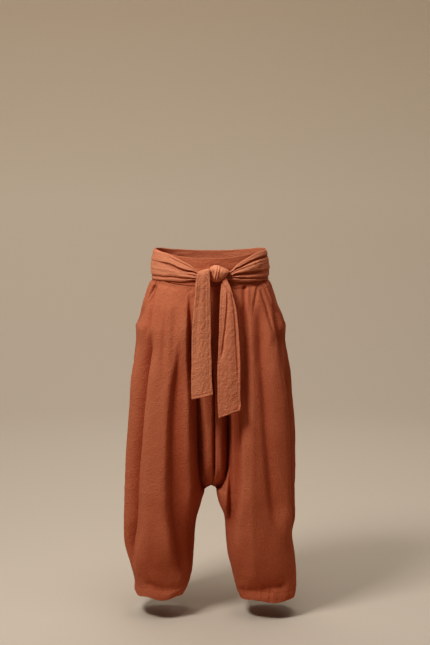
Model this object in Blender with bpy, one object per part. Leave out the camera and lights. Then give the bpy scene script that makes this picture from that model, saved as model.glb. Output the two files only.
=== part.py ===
"""Harem trousers as they hang from the waist, with a cloth sash tied in front.

Metres, +Z up. The wearer faces -Y, so the wearer's right side lies at -X. The origin is the
middle of the waist, level with the waistband's top edge at the sides. Heights are given as
drops: how far a point lies below the origin. Across values are distances from the middle
plane x = 0, positive towards the outer side of either leg.
"""

from collections import namedtuple

import bmesh
import bpy
import numpy as np

# Cloth and seams
WALL = 0.0016
BAND_WALL = 0.0026
SASH_WALL = 0.0022
FACING_WALL = 0.0012
SEAM_GAP = 0.0003
HALF_GAP = SEAM_GAP / 2.0

# Waistband
BAND_HEIGHT = 0.078
FRONT_DIP = 0.022
BACK_DIP = 0.014
BAND_ROWS = 3
BAND_FRONT_COLUMNS = 14
BAND_BACK_COLUMNS = 11

# Rise and hems
CROTCH_DROP = 0.675
ARCH_HEIGHT = 0.009
ARCH_FOOT = CROTCH_DROP + ARCH_HEIGHT
HEM_DROP = {"right": 0.977, "left": 0.985}
HEM_WAVE = 0.007
HEM_WAVES = {"right": 3.0, "left": 2.0}
HEM_PHASE = 0.6
LAST_LEVEL = 0.977
HEM_ZONE = 0.060
TOP_ZONE = 0.110
OUTSEAM_Y = {"right": 0.012, "left": -0.038}
OUTSEAM_Y_START = 0.20
OUTSEAM_Y_LENGTH = 0.15
OUTER_POWER = 2.15
INNER_POWER = 2.7

SIDES = ("right", "left")
SIGN = {"right": -1.0, "left": 1.0}

# One row for each level below the waistband's top edge: the outer edge of each leg, the inner
# edge of each leg column, y of the front's peak, of its middle seam and of its column's inner
# edge, the same three for the back, how far the peaks lie from the inner to the outer edge, and
# how far each outseam is drawn in from the outer edge.
Cut = namedtuple(
    "Cut",
    "drop right_out left_out right_in left_in front front_seam front_in back back_seam back_in "
    "peak right_step left_step",
)
SECTIONS = (
    Cut(0.0, 0.155, 0.149, 0.0, 0.0, -0.099, -0.099, -0.099, 0.098, 0.098, 0.098, 0.0, 0.0, 0.0),
    Cut(0.045, 0.158, 0.153, 0.0, 0.0, -0.102, -0.102, -0.102, 0.101, 0.101, 0.101, 0.0, 0.0, 0.0),
    Cut(0.086, 0.161, 0.1565, 0.0, 0.0, -0.105, -0.105, -0.105, 0.104, 0.104, 0.104, 0.02, 0.0, 0.0),
    Cut(0.098, 0.171, 0.166, 0.01, 0.01, -0.107, -0.106, -0.106, 0.107, 0.106, 0.106, 0.06, 0.0, 0.0),
    Cut(0.124, 0.181, 0.1755, 0.024, 0.022, -0.11, -0.107, -0.107, 0.113, 0.111, 0.111, 0.12, 0.0, 0.0),
    Cut(0.155, 0.191, 0.185, 0.034, 0.032, -0.114, -0.108, -0.108, 0.12, 0.116, 0.116, 0.18, 0.0, 0.0),
    Cut(0.191, 0.1995, 0.2, 0.04, 0.037, -0.117, -0.107, -0.106, 0.127, 0.12, 0.119, 0.24, 0.0, 0.0),
    Cut(0.224, 0.2105, 0.209, 0.042, 0.039, -0.119, -0.105, -0.102, 0.131, 0.122, 0.119, 0.28, 0.0, 0.001),
    Cut(0.25, 0.21, 0.2075, 0.043, 0.04, -0.12, -0.104, -0.098, 0.134, 0.122, 0.118, 0.31, 0.001, 0.004),
    Cut(0.3, 0.2155, 0.2155, 0.043, 0.042, -0.122, -0.1, -0.088, 0.137, 0.12, 0.112, 0.34, 0.003, 0.012),
    Cut(0.35, 0.222, 0.225, 0.042, 0.044, -0.124, -0.095, -0.077, 0.138, 0.116, 0.104, 0.36, 0.006, 0.019),
    Cut(0.441, 0.2315, 0.237, 0.04, 0.047, -0.126, -0.086, -0.061, 0.138, 0.107, 0.09, 0.38, 0.01, 0.028),
    Cut(0.533, 0.2385, 0.2435, 0.039, 0.05, -0.126, -0.079, -0.051, 0.135, 0.097, 0.077, 0.4, 0.012, 0.032),
    Cut(0.6, 0.2425, 0.2445, 0.037, 0.049, -0.125, -0.07, -0.044, 0.132, 0.085, 0.065, 0.4, 0.012, 0.03),
    Cut(0.64, 0.244, 0.2445, 0.034, 0.043, -0.124, -0.054, -0.036, 0.13, 0.064, 0.05, 0.41, 0.011, 0.029),
    Cut(0.662, 0.2445, 0.2443, 0.03, 0.034, -0.124, -0.03, -0.022, 0.129, 0.037, 0.03, 0.42, 0.011, 0.028),
    Cut(0.675, 0.245, 0.244, 0.025, 0.026, -0.124, 0.0, -0.007, 0.128, 0.0, 0.008, 0.43, 0.01, 0.027),
    Cut(0.684, 0.245, 0.2435, 0.019, 0.016, -0.124, 0.0, 0.0, 0.127, 0.0, 0.0, 0.43, 0.01, 0.026),
    Cut(0.712, 0.245, 0.242, 0.026, 0.02, -0.123, 0.0, 0.0, 0.125, 0.0, 0.0, 0.43, 0.009, 0.023),
    Cut(0.745, 0.245, 0.2405, 0.035, 0.033, -0.122, 0.0, 0.0, 0.122, 0.0, 0.0, 0.43, 0.008, 0.017),
    Cut(0.764, 0.2445, 0.2395, 0.041, 0.039, -0.121, 0.0, 0.0, 0.12, 0.0, 0.0, 0.43, 0.007, 0.013),
    Cut(0.811, 0.2425, 0.232, 0.047, 0.042, -0.119, 0.0, 0.0, 0.116, 0.0, 0.0, 0.43, 0.005, 0.001),
    Cut(0.857, 0.2385, 0.2355, 0.05, 0.046, -0.115, 0.0, 0.0, 0.111, 0.0, 0.0, 0.44, 0.003, 0.0),
    Cut(0.904, 0.229, 0.2405, 0.053, 0.056, -0.106, 0.0, 0.0, 0.102, 0.0, 0.0, 0.46, 0.001, 0.0),
    Cut(0.935, 0.221, 0.2415, 0.059, 0.064, -0.099, 0.0, 0.0, 0.094, 0.0, 0.0, 0.48, 0.0, 0.0),
    Cut(0.955, 0.218, 0.2405, 0.066, 0.07, -0.098, 0.0, 0.0, 0.087, 0.0, 0.0, 0.49, 0.0, 0.0),
    Cut(0.975, 0.218, 0.2375, 0.077, 0.08, -0.098, 0.0, 0.0, 0.082, 0.0, 0.0, 0.5, 0.0, 0.0),
    Cut(1.0, 0.215, 0.229, 0.089, 0.092, -0.093, 0.0, 0.0, 0.076, 0.0, 0.0, 0.5, 0.0, 0.0),
)

# One row for each fold that runs down a panel. The path is (drop, across) pairs; inner and
# outer are its half widths towards the middle and towards the side; a positive depth stands
# out as a ridge and a negative one sinks as a valley; it grows and dies over the two fades.
Fold = namedtuple("Fold", "side face path inner outer depth grow die")
FOLDS = (
    # The pinched middle seam and the soft lobe on each side of it
    Fold("right", "front", ((0.20, 0.0), (0.66, 0.0)), 0.006, 0.006, -0.010, 0.20, 0.06),
    Fold("left", "front", ((0.20, 0.0), (0.66, 0.0)), 0.006, 0.006, -0.010, 0.20, 0.06),
    Fold("right", "front", ((0.24, 0.021), (0.44, 0.019), (0.61, 0.017), (0.67, 0.014)),
         0.007, 0.010, 0.010, 0.20, 0.05),
    Fold("left", "front", ((0.24, 0.014), (0.44, 0.015), (0.61, 0.020), (0.69, 0.027)),
         0.006, 0.013, 0.010, 0.20, 0.05),
    # The deep valleys between the lobes and the leg columns
    Fold("right", "front", ((0.14, 0.044), (0.28, 0.041), (0.42, 0.039), (0.65, 0.036), (0.75, 0.035)),
         0.010, 0.008, -0.008, 0.36, 0.16),
    Fold("left", "front", ((0.14, 0.041), (0.28, 0.043), (0.42, 0.047), (0.55, 0.052), (0.77, 0.053)),
         0.011, 0.009, -0.008, 0.36, 0.18),
    # The inner edge of each leg column
    Fold("right", "front",
         ((0.09, 0.070), (0.27, 0.070), (0.37, 0.062), (0.44, 0.057), (0.63, 0.053), (0.86, 0.056)),
         0.010, 0.022, 0.006, 0.12, 0.12),
    Fold("left", "front", ((0.12, 0.072), (0.41, 0.075), (0.63, 0.075), (0.82, 0.070), (0.90, 0.070)),
         0.010, 0.026, 0.005, 0.16, 0.12),
    # The right leg's broad valley with the crease on its outer side
    Fold("right", "front",
         ((0.20, 0.078), (0.33, 0.088), (0.44, 0.102), (0.55, 0.106), (0.65, 0.107), (0.75, 0.102),
          (0.83, 0.090), (0.92, 0.076)),
         0.022, 0.013, -0.019, 0.20, 0.10),
    Fold("right", "front",
         ((0.22, 0.092), (0.37, 0.106), (0.49, 0.126), (0.60, 0.131), (0.69, 0.130), (0.75, 0.124),
          (0.82, 0.112), (0.93, 0.088)),
         0.010, 0.030, 0.007, 0.20, 0.12),
    # The right leg's outer valley and ridge, and the short valley below the waistband
    Fold("right", "front", ((0.25, 0.172), (0.37, 0.179), (0.51, 0.197), (0.62, 0.206), (0.84, 0.216)),
         0.013, 0.014, -0.010, 0.12, 0.10),
    Fold("right", "front",
         ((0.25, 0.160), (0.37, 0.162), (0.51, 0.171), (0.69, 0.178), (0.85, 0.194), (0.95, 0.205)),
         0.024, 0.010, 0.007, 0.12, 0.08),
    Fold("right", "front", ((0.11, 0.128), (0.22, 0.128), (0.38, 0.134)), 0.010, 0.010, -0.004, 0.08, 0.12),
    # The left leg's valley, its outer ridge and the low ridge that swings inwards
    Fold("left", "front",
         ((0.11, 0.108), (0.23, 0.123), (0.35, 0.129), (0.49, 0.135), (0.63, 0.141), (0.78, 0.145)),
         0.020, 0.014, -0.009, 0.10, 0.14),
    Fold("left", "front",
         ((0.16, 0.146), (0.30, 0.162), (0.41, 0.171), (0.58, 0.180), (0.70, 0.191), (0.82, 0.196)),
         0.018, 0.015, 0.006, 0.12, 0.12),
    Fold("left", "front", ((0.58, 0.104), (0.74, 0.119), (0.83, 0.125), (0.89, 0.124), (0.95, 0.104)),
         0.026, 0.022, 0.007, 0.16, 0.04),
    # The short gathers below the sash on the left
    Fold("left", "front", ((0.085, 0.091), (0.13, 0.091), (0.24, 0.088)), 0.006, 0.007, -0.005, 0.02, 0.09),
    Fold("left", "front", ((0.085, 0.130), (0.117, 0.123), (0.17, 0.117)), 0.005, 0.005, -0.004, 0.02, 0.06),
    Fold("left", "front", ((0.085, 0.131), (0.117, 0.142), (0.156, 0.155), (0.24, 0.171)),
         0.006, 0.007, -0.005, 0.02, 0.08),
    # The back: a pinched seat seam, a valley on each side of it and two long folds on each leg
    Fold("right", "back", ((0.28, 0.0), (0.66, 0.0)), 0.007, 0.007, -0.009, 0.20, 0.06),
    Fold("left", "back", ((0.28, 0.0), (0.66, 0.0)), 0.007, 0.007, -0.009, 0.20, 0.06),
    Fold("right", "back", ((0.22, 0.046), (0.45, 0.043), (0.66, 0.040), (0.76, 0.038)),
         0.013, 0.010, -0.006, 0.34, 0.16),
    Fold("left", "back", ((0.22, 0.043), (0.45, 0.047), (0.66, 0.049), (0.77, 0.050)),
         0.013, 0.010, -0.006, 0.34, 0.18),
    Fold("right", "back", ((0.14, 0.082), (0.36, 0.094), (0.58, 0.102), (0.88, 0.094)),
         0.022, 0.018, -0.012, 0.18, 0.14),
    Fold("left", "back", ((0.18, 0.090), (0.40, 0.100), (0.62, 0.112), (0.90, 0.106)),
         0.020, 0.022, -0.013, 0.18, 0.14),
    Fold("right", "back", ((0.20, 0.140), (0.45, 0.158), (0.68, 0.168), (0.90, 0.158)),
         0.020, 0.018, -0.009, 0.16, 0.14),
    Fold("left", "back", ((0.16, 0.132), (0.42, 0.156), (0.66, 0.172), (0.88, 0.168)),
         0.022, 0.018, -0.010, 0.16, 0.14),
)

# One row for each soft trough that runs across a leg above its hem: (across, drop) pairs, the
# half height and the depth.
Trough = namedtuple("Trough", "side face path half_height depth")
TROUGHS = (
    Trough("right", "front", ((0.070, 0.912), (0.098, 0.927), (0.130, 0.931), (0.165, 0.927), (0.205, 0.912)),
           0.011, -0.009),
    Trough("left", "front", ((0.095, 0.952), (0.129, 0.943), (0.148, 0.937), (0.170, 0.925), (0.210, 0.914)),
           0.012, -0.010),
    Trough("right", "back", ((0.090, 0.925), (0.140, 0.932), (0.190, 0.922)), 0.012, -0.007),
    Trough("left", "back", ((0.100, 0.938), (0.150, 0.930), (0.200, 0.936)), 0.012, -0.007),
)
TROUGH_END = 0.025
# How far, as a share of the panel's width, the folds fade towards the outseam and the inseam
OUTSEAM_FADE = 0.12
INSEAM_FADE = 0.09
INSEAM_START = 0.010
INSEAM_EASE = 0.012

# Levels and columns of the panels: (from, to, steps)
ROW_BANDS = (
    (0.0783, 0.096, 2), (0.096, 0.222, 5), (0.222, 0.600, 9), (0.600, CROTCH_DROP, 5),
    (CROTCH_DROP, ARCH_FOOT, 1), (ARCH_FOOT, 0.764, 5), (0.764, 0.900, 4), (0.900, LAST_LEVEL, 5),
)
# Columns that run down along a fold: the column's number and its (drop, across) path. One more,
# the corner column, runs down the inner edge of the leg column to the crotch, then fans out.
Flow = namedtuple("Flow", "column path")
FLOWS = {
    ("right", "front"): (
        Flow(12, ((0.078, 0.070), (0.20, 0.078), (0.33, 0.088), (0.44, 0.102), (0.55, 0.106), (0.65, 0.107),
                  (0.75, 0.102), (0.83, 0.090), (0.92, 0.084), (1.00, 0.106))),
        Flow(15, ((0.078, 0.084), (0.22, 0.092), (0.37, 0.106), (0.49, 0.126), (0.60, 0.131), (0.69, 0.130),
                  (0.75, 0.124), (0.82, 0.112), (0.93, 0.106), (1.00, 0.124))),
    ),
    ("left", "front"): (
        Flow(13, ((0.078, 0.078), (0.11, 0.095), (0.23, 0.123), (0.35, 0.129), (0.49, 0.135), (0.63, 0.141),
                  (0.78, 0.145), (1.00, 0.155))),
    ),
    ("right", "back"): (
        Flow(6, ((0.078, 0.080), (0.36, 0.094), (0.58, 0.102), (0.88, 0.094), (1.00, 0.110))),
    ),
    ("left", "back"): (
        Flow(6, ((0.078, 0.084), (0.40, 0.100), (0.62, 0.112), (0.90, 0.106), (1.00, 0.118))),
    ),
}
CORNER_COLUMN = {"front": 5, "back": 3}
LAST_COLUMN = {"front": 25, "back": 12}
CORNER_LEAST = 0.040
CORNER_LEAST_END = 0.25
CORNER_LEAST_FADE = 0.10
CORNER_AT_INSEAM = 0.006
CORNER_FAN = 0.100

# Slanted pocket mouths: how far the front panel's edge lies from the outseam
MOUTH = ((0.078, 0.038), (0.142, 0.038), (0.184, 0.024), (0.226, 0.0))
MOUTH_END = 0.226
FACING_END = 0.223
FACING_UNDER_FRONT = 2
FACING_UNDER_BACK = 1
FACING_STEPS = 3
FACING_DEPTH = WALL + 0.0008

# Sash round the waist: (across, top drop, bottom drop) from the knot to the side
SASH_EDGES = {
    "right": ((0.000, 0.060, 0.079), (0.027, 0.058, 0.080), (0.054, 0.041, 0.083), (0.079, 0.028, 0.086),
              (0.112, 0.012, 0.084), (0.150, 0.003, 0.085)),
    "left": ((0.000, 0.060, 0.079), (0.049, 0.057, 0.081), (0.068, 0.039, 0.086), (0.092, 0.024, 0.087),
             (0.126, 0.008, 0.086), (0.145, 0.003, 0.086)),
}
SASH_BACK_TOP = 0.006
SASH_BACK_BOTTOM = 0.087
SASH_BACK_REACH = 0.09
SASH_BACK_EASE = 0.05
SASH_BLEND = 0.12
SASH_STAND = 0.0036
SASH_PUFF = 0.0055
PUFF_POWER = 0.6
SASH_ROWS = 10
SASH_FRONT_COLUMNS = 13
SASH_BACK_COLUMNS = 11
SASH_START = {"right": 0.006, "left": 0.032}
SASH_START_LEVEL = 0.07
# One row for each groove between the sash's pleats: where it lies down the sash, 0 at the
# top edge and 1 at the bottom, its half width there and its depth
Pleat = namedtuple("Pleat", "side place half_width depth")
PLEATS = (
    Pleat("right", 0.20, 0.07, 0.0020),
    Pleat("right", 0.48, 0.08, 0.0042),
    Pleat("right", 0.90, 0.06, 0.0046),
    Pleat("left", 0.20, 0.08, 0.0040),
    Pleat("left", 0.50, 0.07, 0.0036),
    Pleat("left", 0.84, 0.07, 0.0042),
)
PLEAT_REACH = 0.150
PLEAT_FAR_SHARE = 0.35
PLEAT_MOST = 0.85

# Knot
KNOT_CENTRE = (0.021, 0.0605)
KNOT_HALF = (0.0275, 0.0205)
KNOT_BULGE = 0.026
KNOT_SEAT = 0.0075
KNOT_RINGS = 9
KNOT_SPOKES = 24
KNOT_PLEATS = 3.0
KNOT_PLEAT_DEPTH = 0.0022
KNOT_POWER = 0.8
KNOT_SLANT = 0.5

# Hanging ends of the sash: drop, inner and outer edge in x, and y of the front face
TailRow = namedtuple("TailRow", "drop x0 x1 y")
TAIL_RIGHT = (
    TailRow(0.066, -0.034, -0.0085, -0.1101),
    TailRow(0.052, -0.033, -0.0075, -0.1165),
    TailRow(0.045, -0.033, -0.007, -0.1260),
    TailRow(0.044, -0.033, -0.006, -0.1345),
    TailRow(0.050, -0.034, -0.006, -0.1420),
    TailRow(0.066, -0.036, -0.0065, -0.1460),
    TailRow(0.088, -0.038, -0.0045, -0.1460),
    TailRow(0.122, -0.043, -0.002, -0.1430),
    TailRow(0.169, -0.048, 0.000, -0.1400),
    TailRow(0.246, -0.053, 0.001, -0.1380),
    TailRow(0.322, -0.053, 0.002, -0.1390),
    TailRow(0.366, -0.053, 0.003, -0.1400),
    TailRow(0.397, -0.052, 0.006, -0.1405),
)
TAIL_LEFT = (
    TailRow(0.0806, 0.030, 0.044, -0.1150),
    TailRow(0.088, 0.029, 0.050, -0.1220),
    TailRow(0.098, 0.027, 0.054, -0.1270),
    TailRow(0.120, 0.024, 0.060, -0.1330),
    TailRow(0.169, 0.023, 0.071, -0.1380),
    TailRow(0.246, 0.021, 0.078, -0.1400),
    TailRow(0.322, 0.018, 0.080, -0.1410),
    TailRow(0.366, 0.018, 0.079, -0.1420),
    TailRow(0.410, 0.019, 0.080, -0.1425),
    TailRow(0.441, 0.0215, 0.081, -0.1430),
)
TAIL_STEPS = 20
TAIL_COLUMNS = 8
TAIL_CROWDING = 1.3
TAIL_BOW = 0.003
TAIL_SLANT = {"right": 0.014, "left": 0.023}
TAIL_SLANT_ZONE = 0.10
# One row for each lengthwise fold of a hanging end: (drop, share of the width) pairs, its half
# width as a share, its depth and how fast it dies at both ends
TailFold = namedtuple("TailFold", "side path half_width depth fade")
TAIL_FOLDS = (
    TailFold("left", ((0.086, 0.92), (0.12, 0.72), (0.17, 0.52), (0.22, 0.34), (0.29, 0.14)),
             0.10, -0.0040, 0.03),
    TailFold("left", ((0.092, 0.55), (0.13, 0.42), (0.19, 0.20)), 0.09, -0.0025, 0.03),
    TailFold("left", ((0.10, 0.97), (0.15, 0.86), (0.24, 0.84), (0.36, 0.90)), 0.07, -0.0025, 0.05),
    TailFold("right", ((0.046, 0.40), (0.09, 0.34), (0.18, 0.26), (0.30, 0.22)), 0.12, -0.0018, 0.05),
    TailFold("right", ((0.046, 0.75), (0.10, 0.70), (0.24, 0.74)), 0.10, -0.0014, 0.05),
)

# Material values: colour, roughness
LINEN = (0.44, 0.125, 0.060)
SASH_LINEN = (0.50, 0.155, 0.078)
ROUGHNESS = 0.9

# Steps of the tables that the surfaces are read from
LEVEL_STEP = 0.0025
LATTICE_END = 1.004
DENSE = 60
WAIST_SEARCH = 0.8
SHARP_DEGREES = 50.0
TINY = 1e-9


def smooth_step(value):
    """Ease from 0 to 1."""
    t = np.clip(value, 0.0, 1.0)
    return t * t * (3.0 - 2.0 * t)


def smooth_through(xs, ys, x):
    """Return a monotone cubic curve through the points (xs, ys), read at x."""
    xs = np.asarray(xs, dtype=float)
    ys = np.asarray(ys, dtype=float)
    gaps = np.diff(xs)
    slopes = np.diff(ys) / gaps
    tangents = np.zeros_like(ys)
    before, after = slopes[:-1], slopes[1:]
    same_way = before * after > 0.0
    sums = np.where(same_way, before + after, 1.0)
    tangents[1:-1] = np.where(same_way, 2.0 * before * after / sums, 0.0)
    tangents[0] = slopes[0]
    tangents[-1] = slopes[-1]
    i = np.clip(np.searchsorted(xs, x) - 1, 0, len(xs) - 2)
    t = np.clip((x - xs[i]) / gaps[i], 0.0, 1.0)
    from_values = (1.0 + 2.0 * t) * (1.0 - t) ** 2 * ys[i] + t * t * (3.0 - 2.0 * t) * ys[i + 1]
    from_tangents = t * (1.0 - t) ** 2 * tangents[i] - t * t * (1.0 - t) * tangents[i + 1]
    return from_values + gaps[i] * from_tangents


def column(name, drop):
    """Return one column of the section table at a drop."""
    drops = [row.drop for row in SECTIONS]
    return smooth_through(drops, [getattr(row, name) for row in SECTIONS], drop)


def bands(rows):
    """Return the values that run through bands of (from, to, steps)."""
    values = [rows[0][0]]
    for start, end, steps in rows:
        values.extend(start + (end - start) * (k + 1) / steps for k in range(steps))
    return np.array(values)


def ribbon(start, seam_y, inner, inner_y):
    """Return the curve that hangs between the middle seam and a leg column."""
    t = np.linspace(0.0, 1.0, DENSE)
    return start + (inner - start) * t, seam_y + (inner_y - seam_y) * smooth_step(t)


def quarter(peak_x, peak_y, side_x, side_y, power):
    """Return the rounded quarter from a peak to the side of a leg column."""
    angle = np.linspace(0.0, np.pi / 2.0, DENSE)
    x = peak_x + (side_x - peak_x) * np.sin(angle) ** (2.0 / power)
    y = side_y + (peak_y - side_y) * np.cos(angle) ** (2.0 / power)
    return x, y


def outseam_y(side, drop):
    """Return how far back the outseam lies."""
    return OUTSEAM_Y[side] * smooth_step((drop - OUTSEAM_Y_START) / OUTSEAM_Y_LENGTH)


def plain_section(side, face, drop):
    """Return the smooth section of one panel, from the middle or the inseam to the outseam."""
    out = column(side + "_out", drop)
    inner = column(side + "_in", drop)
    step = column(side + "_step", drop)
    peak_y = column(face, drop)
    seam_y = column(face + "_seam", drop)
    inner_y = column(face + "_in", drop)
    peak_x = inner + column("peak", drop) * (out - inner)
    side_y = outseam_y(side, drop)
    column_x, column_y = quarter(peak_x, peak_y, inner, inner_y, INNER_POWER)
    parts = [(column_x[::-1], column_y[::-1])]
    if drop < ARCH_FOOT:
        start = inner * np.sqrt(max(drop - CROTCH_DROP, 0.0) / ARCH_HEIGHT)
        parts.insert(0, ribbon(start, seam_y, inner, inner_y))
    if face == "front":
        parts.append(quarter(peak_x, peak_y, out - step, side_y, OUTER_POWER))
    else:
        parts.append(quarter(peak_x, peak_y, out, side_y + 2.0 * step, OUTER_POWER))
        t = np.linspace(0.0, 1.0, DENSE)
        parts.append((out - step * smooth_step(t), side_y + 2.0 * step * (1.0 - t)))
    x = np.concatenate([part[0] for part in parts])
    y = np.concatenate([part[1] for part in parts])
    return x, y


class Face:
    """The smooth surface of one panel, tabled level by level along its own length."""

    def __init__(self, side, face):
        self.side = side
        self.face = face
        self.levels = np.arange(0.0, LATTICE_END, LEVEL_STEP)
        self.curves = []
        self.lengths = []
        self.ribbons = []
        for level in self.levels:
            x, y = plain_section(side, face, level)
            run = np.concatenate([[0.0], np.cumsum(np.hypot(np.diff(x), np.diff(y)))])
            self.curves.append((run, x, y))
            self.lengths.append(run[-1])
            self.ribbons.append(run[DENSE - 1] if level < ARCH_FOOT else 0.0)

    def length(self, level):
        """Return the panel's width at a level, from the middle or inseam to the outseam."""
        return np.interp(level, self.levels, self.lengths)

    def run_of(self, across, level):
        """Return how far along the panel a place across lies."""
        runs = np.linspace(0.0, self.length(level), DENSE * 2)
        return float(np.interp(across, self.plain(runs, level)[0], runs))

    def corner_run(self, level, even):
        """Return where the corner column lies: at the leg column's inner edge down to the crotch."""
        if level <= CROTCH_DROP + TINY:
            least = CORNER_LEAST * (1.0 - smooth_step((level - CORNER_LEAST_END) / CORNER_LEAST_FADE))
            return max(np.interp(level, self.levels, self.ribbons), least)
        return CORNER_AT_INSEAM + (even - CORNER_AT_INSEAM) * smooth_step((level - CROTCH_DROP) / CORNER_FAN)

    def column_runs(self, level, mouth):
        """Return where the panel's columns lie along it, some of them led down by its folds."""
        flows = FLOWS[self.side, self.face]
        led = [self.run_of(smooth_through(*zip(*flow.path), level), level) for flow in flows]
        corner = CORNER_COLUMN[self.face]
        led.insert(0, self.corner_run(level, led[0] * corner / flows[0].column))
        last = LAST_COLUMN[self.face]
        numbers = [0, corner, *(flow.column for flow in flows), last]
        return np.interp(range(last + 1), numbers, [HALF_GAP, *led, self.length(level) - HALF_GAP - mouth])

    def plain(self, run, level):
        """Return across and y at a distance along the panel from its inner edge."""
        place = np.clip(level / LEVEL_STEP, 0.0, len(self.levels) - 1.001)
        low = int(place)
        part = place - low
        ends = []
        for k in (low, low + 1):
            along = run / self.length(level) * self.lengths[k]
            runs, x, y = self.curves[k]
            ends.append((np.interp(along, runs, x), np.interp(along, runs, y)))
        across = ends[0][0] * (1.0 - part) + ends[1][0] * part
        y = ends[0][1] * (1.0 - part) + ends[1][1] * part
        return across, y

    def top_edge(self, share):
        """Return the drop of the waistband's top edge, lower at the front and the back."""
        y = self.plain(share * self.lengths[0], 0.0)[1]
        if self.face == "front":
            return FRONT_DIP * (y / SECTIONS[0].front) ** 2
        return BACK_DIP * (y / SECTIONS[0].back) ** 2

    def drop(self, share, level):
        """Return how far below the origin a level lies: bent to the waist seam and the hem."""
        at_top = 1.0 - smooth_step((level - BAND_HEIGHT) / TOP_ZONE)
        at_hem = smooth_step((level - LAST_LEVEL + HEM_ZONE) / HEM_ZONE)
        hem = HEM_DROP[self.side] + self.hem_wave(share)
        return level + self.top_edge(share) * at_top + (hem - LAST_LEVEL) * at_hem

    def hem_wave(self, share):
        """Return the slow rise and fall of the hem, none at the seams."""
        if self.face == "back":
            return 0.0
        waves = HEM_WAVES[self.side]
        return HEM_WAVE * np.sin(share * np.pi) * np.sin(share * np.pi * 2.0 * waves - HEM_PHASE)

    def point(self, run, level, folded=True):
        """Return the world point on the panel's outer surface."""
        across, y = self.plain(run, level)
        share = run / self.length(level)
        outward = -1.0 if self.face == "front" else 1.0
        if folded:
            y = y + outward * self.fold_depth(across, level, share)
        return np.array([SIGN[self.side] * across, y, -self.drop(share, level)])

    def fold_depth(self, across, drop, share):
        """Return how far the folds move the surface out, towards the front or the back."""
        total = 0.0
        for fold in FOLDS:
            if fold.side == self.side and fold.face == self.face:
                total += one_fold(fold, across, drop)
        for trough in TROUGHS:
            if trough.side == self.side and trough.face == self.face:
                total += one_trough(trough, across, drop)
        at_outseam = smooth_step((1.0 - share) / OUTSEAM_FADE)
        below_crotch = smooth_step((drop - CROTCH_DROP + INSEAM_START) / INSEAM_EASE)
        at_inseam = 1.0 - below_crotch * (1.0 - smooth_step(share / INSEAM_FADE))
        return total * at_outseam * at_inseam


def one_fold(fold, across, drop):
    """Return the depth of one fold at a place on its panel."""
    drops = [pair[0] for pair in fold.path]
    centre = smooth_through(drops, [pair[1] for pair in fold.path], drop)
    away = across - centre
    width = fold.inner if away < 0.0 else fold.outer
    grown = smooth_step((drop - drops[0]) / fold.grow) * smooth_step((drops[-1] - drop) / fold.die)
    return fold.depth * grown * np.exp(-((away / width) ** 2))


def one_trough(trough, across, drop):
    """Return the depth of one cross trough at a place on its panel."""
    places = [pair[0] for pair in trough.path]
    centre = smooth_through(places, [pair[1] for pair in trough.path], across)
    ends = smooth_step((across - places[0]) / TROUGH_END + 1.0)
    ends = ends * smooth_step((places[-1] - across) / TROUGH_END + 1.0)
    return trough.depth * ends * np.exp(-(((drop - centre) / trough.half_height) ** 2))


def mouth_width(level):
    """Return how far the front panel's edge lies from the outseam at the pocket."""
    if level >= MOUTH_END:
        return 0.0
    return float(smooth_through([row[0] for row in MOUTH], [row[1] for row in MOUTH], level))


class Grid:
    """Outer points and outward normals over one panel's rows and columns."""

    def __init__(self, points, normals):
        self.points = points
        self.normals = normals

    def moved_in(self, depth):
        """Return the points moved in along the normals."""
        return self.points - self.normals * depth


def unit(vectors):
    """Return vectors of length one."""
    return vectors / np.maximum(np.linalg.norm(vectors, axis=-1, keepdims=True), TINY)


def cell_normals(points):
    """Return the outward normal of each cell between rows and columns."""
    down = points[1:, :-1] - points[:-1, :-1] + points[1:, 1:] - points[:-1, 1:]
    along = points[:-1, 1:] - points[:-1, :-1] + points[1:, 1:] - points[1:, :-1]
    return unit(np.cross(down, along))


def vertex_normals(cells, shape):
    """Return the mean of the cell normals round each grid point."""
    total = np.zeros(shape)
    total[:-1, :-1] += cells
    total[:-1, 1:] += cells
    total[1:, :-1] += cells
    total[1:, 1:] += cells
    return unit(total)


def panel_points(surface, rows, with_pocket):
    """Return the grid of outer points of one panel."""
    points = np.zeros((len(rows), LAST_COLUMN[surface.face] + 1, 3))
    for i, level in enumerate(rows):
        mouth = mouth_width(level) if with_pocket else 0.0
        for j, run in enumerate(surface.column_runs(level, mouth)):
            points[i, j] = surface.point(run, level)
    keep_clear_of_middle(points, surface)
    return points


def keep_clear_of_middle(points, surface):
    """Keep a panel half a gap from the middle plane and, at the inseam, from its partner."""
    sign = SIGN[surface.side]
    points[:, 0, 0] = sign * np.maximum(sign * points[:, 0, 0], HALF_GAP)
    outward = -1.0 if surface.face == "front" else 1.0
    points[:, 0, 1] = outward * np.maximum(outward * points[:, 0, 1], HALF_GAP)


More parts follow.
